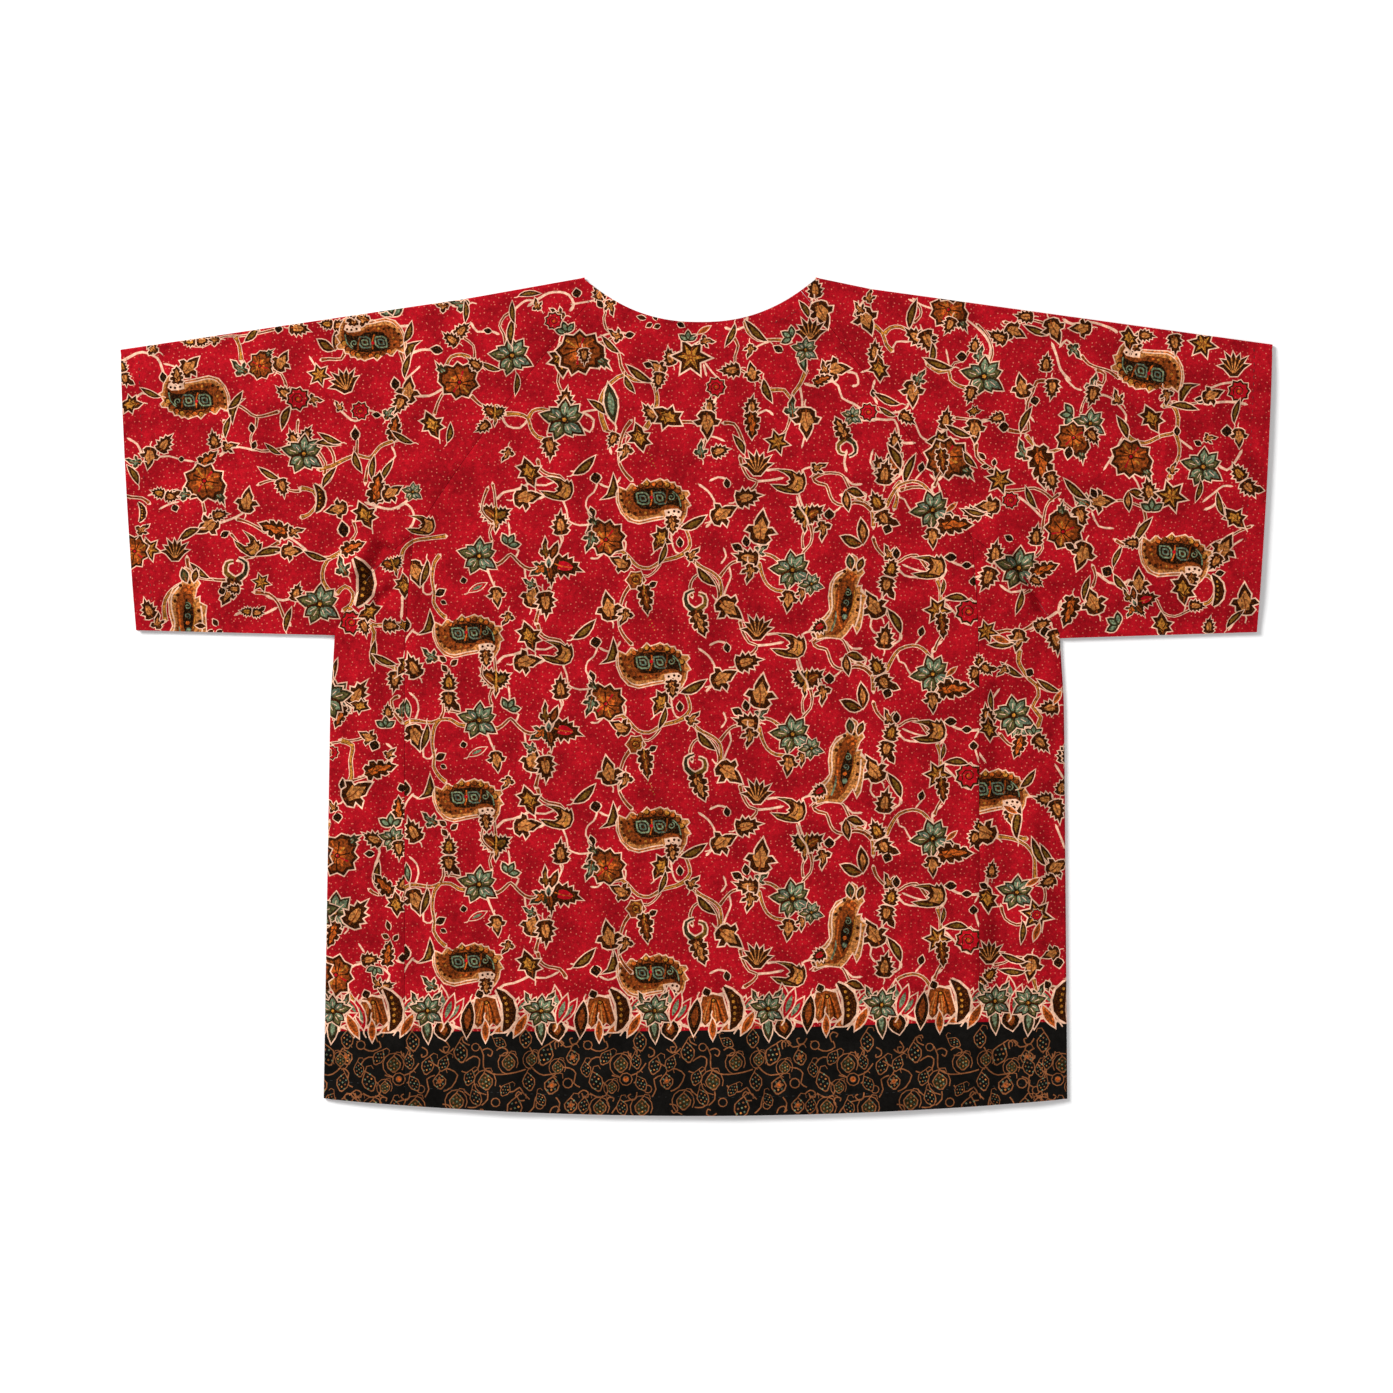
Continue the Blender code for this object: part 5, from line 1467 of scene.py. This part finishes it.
def new_mesh(name, points, threes, fours):
    """Mesh of triangles and four-sided faces."""
    mesh = bpy.data.meshes.new(name)
    mesh.vertices.add(len(points))
    mesh.vertices.foreach_set("co", points.ravel())
    corners = np.concatenate((threes.ravel(), fours.ravel()))
    mesh.loops.add(len(corners))
    mesh.loops.foreach_set("vertex_index", corners)
    starts = np.concatenate((np.arange(len(threes)) * 3, len(threes) * 3 + np.arange(len(fours)) * 4))
    mesh.polygons.add(len(starts))
    mesh.polygons.foreach_set("loop_start", starts)
    mesh.update(calc_edges=True)
    return mesh


def shown(name, data):
    """New object, linked to the scene."""
    made = bpy.data.objects.new(name, data)
    bpy.context.scene.collection.objects.link(made)
    return made


def side_of_print(cloth, shapes, outline):
    """Shapes drawn in plan, taken to both layers of a folded piece's cloth plane, where they come near it."""
    (x0, y0), (x1, y1) = outline.min(axis=0) * 1000, outline.max(axis=0) * 1000
    kept = []
    for place in (cloth.upper, cloth.lower):
        for colour, points in shapes:
            flat = place(outwards(cloth.side, np.array(points) / 1000)) * 1000
            (left, low), (right, high) = flat.min(axis=0), flat.max(axis=0)
            if right > x0 and left < x1 and high > y0 and low < y1:
                kept.append((colour, flat))
    return kept


def fold_guides(outline):
    """Lines along a fold, close enough together to bend the cloth smoothly."""
    a0, a1 = outline[:, 0].min() - 0.01, outline[:, 0].max() + 0.01
    return [np.array(((a0, d), (a1, d))) for d in BEND_ROWS]


def fold_points(outline):
    """Points that bend the wrong side smoothly."""
    a = np.arange(outline[:, 0].min(), outline[:, 0].max(), SIDE_MARK_STEP)
    return np.vstack([np.column_stack((a, np.full(len(a), d))) for d in BEND_ROWS])


def crease_points():
    """Plan points close together across and along the narrow folds and creases."""
    points = []
    for x0, y0, x1, y1, half, rise in FOLDS + CREASES:
        if half > CREASE_WIDE:
            continue
        length = math.hypot(x1 - x0, y1 - y0)
        ux, uy = (x1 - x0) / length, (y1 - y0) / length
        steep = abs(rise) > STEEP_CREASE
        for along in np.arange(-1.5 * half, length + 1.5 * half, CREASE_STEP * (0.6 if steep else 1.0)):
            for across in STEEP_ROWS if steep else CREASE_ROWS:
                points.append((x0 + ux * along - uy * across * half, y0 + uy * along + ux * across * half))
    return np.array(points)


def border_line(points_x):
    """Plan points on both sides of the border's top edge, for the wrong side."""
    level = np.array([BORDER_TOP + border_rise(1000 * x) for x in points_x]) / 1000
    return np.vstack([np.column_stack((points_x, level + gap)) for gap in (-MARK_GAP, MARK_GAP)])


def in_corners(x, y):
    """Whether the upper chart, not the repeat, draws the body here: the yoke and beside the raglan seams."""
    return y > YOKE_LOW or (y > CORNER_LOW and not CORNER_LEFT < x < CORNER_RIGHT)


def upper_print(wanted):
    """Print over the yoke and both sleeves, in plan."""
    def in_repeat(x, y):
        return wanted(x, y) and y > REPEAT_LOW and abs(x) < BODY_REACH and not in_corners(x, y)

    return drawn(motif_rows(TOP), stem_rows(TOP_VINES), wanted) + body_print(in_repeat)


def make_back():
    """Centre back panel, the upper layer of the body."""
    outline = body_outline("back")

    def surface(flat):
        return np.column_stack((flat, upper_height(flat)))

    reach = drawn_in(outline, -BACK_MARGIN) * 1000
    border = border_print(*BACK_BORDER)
    shapes = upper_print(lambda x, y: inside(np.array([(x, y)]), reach)[0]) + border
    marks = border_line(np.arange(*BACK_MARKS, MARK_STEP))
    return cloth_piece("back_cloth", outline, surface, shapes, [], 1, border[:1], marks, crease_points()), outline


def make_front():
    """Centre front panel, flat on the surface under the back, with its deeper neck and the print mirrored."""
    outline = body_outline("front")

    def surface(flat):
        return np.column_stack((flat, -LOWER_SEAM_SHARE * np.minimum(seam_relief(flat, "front"), 0.0)))

    border = border_print(*FRONT_BORDER)
    shapes = body_print(lambda x, y: REPEAT_LOW < y < FRONT_TOP and abs(x) < FRONT_REACH) + border
    shapes, night = ([(colour, [(FRONT_SHIFT - x, y) for x, y in points]) for colour, points in part]
                     for part in (shapes, border[:1]))
    marks = border_line(np.arange(*FRONT_MARKS, MARK_STEP)) * (-1, 1) + (FRONT_SHIFT / 1000, 0)
    return cloth_piece("front_cloth", outline, surface, shapes, [], -1, night, marks, np.zeros((1, 2))), outline


def make_sleeve(name, side):
    """Raglan sleeve, one cloth folded along its top edge."""
    cloth, sign = sleeve_cloth(side), side["sign"]
    outline = sleeve_outline(cloth)
    shapes = side_of_print(cloth, upper_print(lambda x, y: x * sign > SLEEVE_PRINT_FROM), outline)
    return cloth_piece(name, outline, cloth.surface, shapes, fold_guides(outline), sign, [],
                       fold_points(outline), cloth.upper(outwards(side, crease_points()))), outline


def make_side(name, side):
    """Side panel, one cloth wrapped round the shirt's side."""
    cloth, sign = side_cloth(side), side["sign"]
    outline = side_outline(cloth)
    plan = drawn(motif_rows(TOP), stem_rows(TOP_VINES),
                 lambda x, y: SIDE_RUN_ON < x * sign < SIDE_FOLD and y > SIDE_RUN_ON_LOW)
    plan += drawn(motif_rows(SIDE_PRINT), stem_rows(SIDE_VINES), lambda x, y: x * sign > 0)
    plan += border_print(*sorted(sign * x for x in SIDE_BORDER))
    shapes = side_of_print(cloth, plan, outline)
    night = [s for s in shapes if s[0] == "night" and len(s[1]) == BORDER_TOP_POINTS + 2]
    marks = outwards(side, border_line(sign * np.arange(*SIDE_MARKS, SIDE_MARK_STEP)))
    marks = np.vstack((cloth.upper(marks), cloth.lower(marks), fold_points(outline)))
    return cloth_piece(name, outline, cloth.surface, shapes, fold_guides(outline), sign, night, marks,
                       cloth.upper(outwards(side, crease_points()))), outline


def wired(tree, kind, inputs=None, **settings):
    """New node with its settings, and with its inputs given as values or as other nodes' outputs."""
    made = tree.nodes.new(kind)
    for key, value in settings.items():
        setattr(made, key, value)
    for key, value in (inputs or {}).items():
        if isinstance(value, bpy.types.NodeSocket):
            tree.links.new(value, made.inputs[key])
        else:
            made.inputs[key].default_value = value
    return made


def new_material(name, **values):
    """Material with its node tree and its shader's inputs, some of them set."""
    material = bpy.data.materials.new(name)
    material.use_nodes = True
    shader = material.node_tree.nodes["Principled BSDF"].inputs
    for key, value in values.items():
        shader[key.replace("_", " ")].default_value = value
    return material, material.node_tree, shader


def batik_material():
    """Waxed and dyed cotton: printed tones, mottled dye, small dots on the ground and weave."""
    material, tree, shader = new_material("batik_cotton", Roughness=0.8, Specular_IOR_Level=0.02)

    def sum_of(operation, *values):
        return wired(tree, "ShaderNodeMath", dict(enumerate(values)), operation=operation).outputs[0]

    def noise(scale, detail, low, high, out_low, out_high):
        cloud = {"Vector": place, "Scale": scale, "Detail": detail}
        cloud = wired(tree, "ShaderNodeTexNoise", cloud, noise_dimensions="2D").outputs[0]
        spread = {"Value": cloud, "From Min": low, "From Max": high, "To Min": out_low, "To Max": out_high}
        return wired(tree, "ShaderNodeMapRange", spread).outputs[0]

    def mixed(blend, factor, first, second):
        inputs = {0: factor, 6: first, 7: second}
        return wired(tree, "ShaderNodeMix", inputs, data_type="RGBA", blend_type=blend).outputs[2]

    def bumped(strength, distance, height, **under):
        inputs = {"Strength": strength, "Distance": distance, "Height": height, **under}
        return wired(tree, "ShaderNodeBump", inputs).outputs["Normal"]

    dye = wired(tree, "ShaderNodeAttribute", attribute_name="print").outputs
    place = wired(tree, "ShaderNodeAttribute", attribute_name="cloth").outputs["Vector"]
    ground = sum_of("GREATER_THAN", dye["Alpha"], 0.9)
    motif = sum_of("COMPARE", dye["Alpha"], MOTIF_ZONE, 0.1)
    wax = sum_of("COMPARE", dye["Alpha"], ZONES["cream"], 0.1)

    flecks = sum_of("MULTIPLY", motif, noise(900.0, 2.0, 0.55, 0.62, 0.0, 0.26))
    specks = sum_of("MULTIPLY", motif, noise(760.0, 2.0, 0.55, 0.62, 0.0, 0.6))
    grain = noise(1100.0, 2.0, 0.3, 0.7, 0.82, 1.16)
    colour = mixed("MIX", flecks, dye["Color"], (*linear(FLECK), 1.0))
    colour = mixed("MULTIPLY", motif, colour, noise(520.0, 3.0, 0.35, 0.65, 0.55, 1.4))
    colour = mixed("MIX", specks, colour, (*linear(SPECK), 1.0))
    colour = mixed("MULTIPLY", wax, colour, noise(260.0, 2.0, 0.3, 0.7, 0.78, 1.1))
    clouds, mottle = noise(48.0, 6.0, 0.34, 0.66, 0.68, 1.06), noise(330.0, 3.0, 0.3, 0.7, 0.78, 1.12)
    for shade in (clouds, mottle, grain):
        colour = mixed("MULTIPLY", 1.0, colour, shade)

    dots = wired(tree, "ShaderNodeTexVoronoi", {"Vector": place, "Scale": 280.0, "Randomness": 0.9},
                 voronoi_dimensions="2D", feature="F1").outputs
    own = wired(tree, "ShaderNodeSeparateColor", {0: dots["Color"]}).outputs[0]
    spot = sum_of("MULTIPLY", sum_of("LESS_THAN", dots["Distance"], DOT_RADIUS), ground)
    spot = sum_of("MULTIPLY", spot, sum_of("MULTIPLY", own, 0.75))
    tree.links.new(mixed("MIX", spot, colour, (*linear(DOT), 1.0)), shader["Base Color"])

    axes = wired(tree, "ShaderNodeSeparateXYZ", {0: place}).outputs
    warp, weft = (sum_of("SINE", sum_of("MULTIPLY", axes[k], 2 * math.pi / THREAD_PITCH[k])) for k in (0, 1))
    weave = bumped(0.25, 0.00012, sum_of("MULTIPLY_ADD", sum_of("MULTIPLY", warp, weft), 0.5, grain))
    rumple = bumped(0.5, 0.0007, noise(70.0, 3.0, 0.2, 0.8, 0.0, 1.0), Normal=weave)
    tree.links.new(rumple, shader["Normal"])
    return material


def thread_material(name, colour):
    """Twisted cotton sewing thread."""
    material, tree, shader = new_material(name, Roughness=0.6)
    place = wired(tree, "ShaderNodeTexCoord").outputs["Object"]
    twist = wired(tree, "ShaderNodeTexNoise", {"Vector": place, "Scale": 2500.0}).outputs[0]
    light, dark = (*linear(colour), 1.0), (*linear([0.6 * c for c in colour]), 1.0)
    shade = wired(tree, "ShaderNodeMix", {0: twist, 6: light, 7: dark}, data_type="RGBA").outputs[2]
    tree.links.new(shade, shader["Base Color"])
    return material


def stitch_tree():
    """Geometry nodes that sew even running stitches along every line of a mesh."""
    tree = bpy.data.node_groups.new("running_stitch", "GeometryNodeTree")
    sockets = [("Geometry", "Geometry"), *((label, "Float") for label in STITCHES), ("Thread", "Material")]
    for label, kind in sockets:
        tree.interface.new_socket(label, in_out="INPUT", socket_type="NodeSocket" + kind)
    tree.interface.new_socket("Geometry", in_out="OUTPUT", socket_type="NodeSocketGeometry")
    given = wired(tree, "NodeGroupInput").outputs
    curve = wired(tree, "GeometryNodeMeshToCurve", {"Mesh": given["Geometry"]}).outputs["Curve"]
    along = wired(tree, "GeometryNodeCurveToPoints", {"Curve": curve, "Length": given["Stitch Spacing"]},
                  mode="LENGTH").outputs
    stitch = wired(tree, "GeometryNodeMeshIcoSphere", {"Subdivisions": 1, "Radius": 1.0}).outputs["Mesh"]
    half = wired(tree, "ShaderNodeMath", {0: given["Stitch Length"], 1: 0.5}, operation="MULTIPLY").outputs[0]
    radius = given["Thread Radius"]
    size = wired(tree, "ShaderNodeCombineXYZ", {0: radius, 1: radius, 2: half}).outputs[0]
    row = wired(tree, "GeometryNodeInstanceOnPoints", {
        "Points": along["Points"], "Instance": stitch, "Rotation": along["Rotation"], "Scale": size}).outputs[0]
    real = wired(tree, "GeometryNodeRealizeInstances", {"Geometry": row}).outputs["Geometry"]
    dyed = wired(tree, "GeometryNodeSetMaterial", {"Geometry": real, "Material": given["Thread"]}).outputs["Geometry"]
    wired(tree, "NodeGroupOutput", {"Geometry": dyed})
    return tree


def sewn(name, lines, tree, thread):
    """Stitches along lines of points, as one plain mesh."""
    verts, edges = [], []
    for line in lines:
        edges += [(len(verts) + k, len(verts) + k + 1) for k in range(len(line) - 1)]
        verts += [tuple(p) for p in line]
    mesh = bpy.data.meshes.new(name + "_path")
    mesh.from_pydata(verts, edges, [])
    path = shown(name + "_path", mesh)
    modifier = path.modifiers.new("stitches", "NODES")
    modifier.node_group = tree
    values = {**STITCHES, "Thread": thread}
    for item in tree.interface.items_tree:
        if item.in_out == "INPUT" and item.name in values:
            modifier[item.identifier] = values[item.name]
    bpy.context.view_layer.update()
    made = bpy.data.meshes.new_from_object(path.evaluated_get(bpy.context.evaluated_depsgraph_get()))
    path.modifiers.clear()
    bpy.data.objects.remove(path)
    made.shade_smooth()
    return shown(name, made)


def offset_line(line, amount):
    """Line of plan points moved sideways by the same amount, to its left."""
    step = np.gradient(line, axis=0)
    step /= np.hypot(step[:, 0], step[:, 1])[:, None]
    return line + amount * np.column_stack((-step[:, 1], step[:, 0]))


def on_top(plan):
    """Plan points set on the upper layer, a little into the cloth."""
    return np.column_stack((plan, upper_height(plan) + STITCH_LEVEL))


def stitching():
    """Rows of stitches round the neck, the hem and the cuffs."""
    tree, red_thread = stitch_tree(), thread_material("red_thread", RED_THREAD)
    black_thread = thread_material("black_thread", BLACK_THREAD)
    neck = offset_line(neck_curve("back", np.linspace(1, -1, 90)), NECK_TURN)
    neck = neck[neck[:, 1] < NECK_TIP_Y - NECK_STITCHES_END]
    x = np.linspace(*HEM_STITCHES, 160)
    hem = np.column_stack((x, HEM_MIDDLE_Y + HEM_RISE * (x / HEM_HALF_WIDTH) ** 2 + HEM_TURN))
    cuffs = [on_top(outwards(side, offset_line(cuff_edge(side, np.linspace(*CUFF_STITCHES, 60)), CUFF_TURN)))
             for side in SIDES.values()]
    return [sewn("neck_stitches", [on_top(neck)], tree, red_thread),
            sewn("hem_stitches", [on_top(hem)], tree, black_thread),
            sewn("cuff_stitches", cuffs, tree, red_thread)]


def studio():
    """Pale floor, soft light from the upper left, and the camera straight above."""
    scene, white = bpy.context.scene, (1.0, 1.0, 1.0, 1.0)
    scene.view_settings.view_transform = "Standard"
    mesh = bpy.data.meshes.new("floor")
    corners = [(x * FLOOR_HALF, y * FLOOR_HALF, FLOOR_LEVEL) for x, y in ((-1, -1), (1, -1), (1, 1), (-1, 1))]
    mesh.from_pydata(corners, [], [(0, 1, 2, 3)])
    floor = shown("floor", mesh)
    paper = {"Base_Color": (0.93, 0.93, 0.93, 1.0), "Emission_Color": white, "Emission_Strength": 0.14}
    mesh.materials.append(new_material("pale_floor", Roughness=0.9, **paper)[0])

    scene.world = bpy.data.worlds.new("studio")
    scene.world.use_nodes = True
    background = scene.world.node_tree.nodes["Background"].inputs
    background["Color"].default_value = white
    background["Strength"].default_value = WORLD_STRENGTH
    for name, (place, size, energy) in LAMPS.items():
        light = bpy.data.lights.new(name, "AREA")
        light.size, light.energy = size, energy
        lamp = shown(name, light)
        lamp.location = place
        lamp.rotation_euler = (-Vector(place)).to_track_quat("-Z", "Y").to_euler()

    lens = bpy.data.cameras.new("camera")
    lens.sensor_width = SENSOR
    lens.lens = SENSOR * CAMERA_HEIGHT / VIEW_WIDTH
    scene.camera = shown("camera", lens)
    scene.camera.location = (0.0, 0.0, CAMERA_HEIGHT)


def declare(piece, node, outline):
    """Hang a cloth piece on the root and hide its imported part; its outline's area is worked out but not kept."""
    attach(piece, "root")
    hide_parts(node)
    float(abs(shoelace(outline)))


def main():
    """Dress the shirt, light it and hand it to the frame."""
    cotton = batik_material()
    pieces = {"back": make_back(), "front": make_front()}
    for name, side in SIDES.items():
        pieces["sleeve_" + name] = make_sleeve("sleeve_" + name + "_cloth", side)
        pieces["side_" + name] = make_side("side_" + name + "_cloth", side)
    rows = stitching()
    for row in rows:
        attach(row, "root")
    for node, (piece, outline) in pieces.items():
        piece.data.materials.append(cotton)
        declare(piece, node, outline)
    studio()


main()
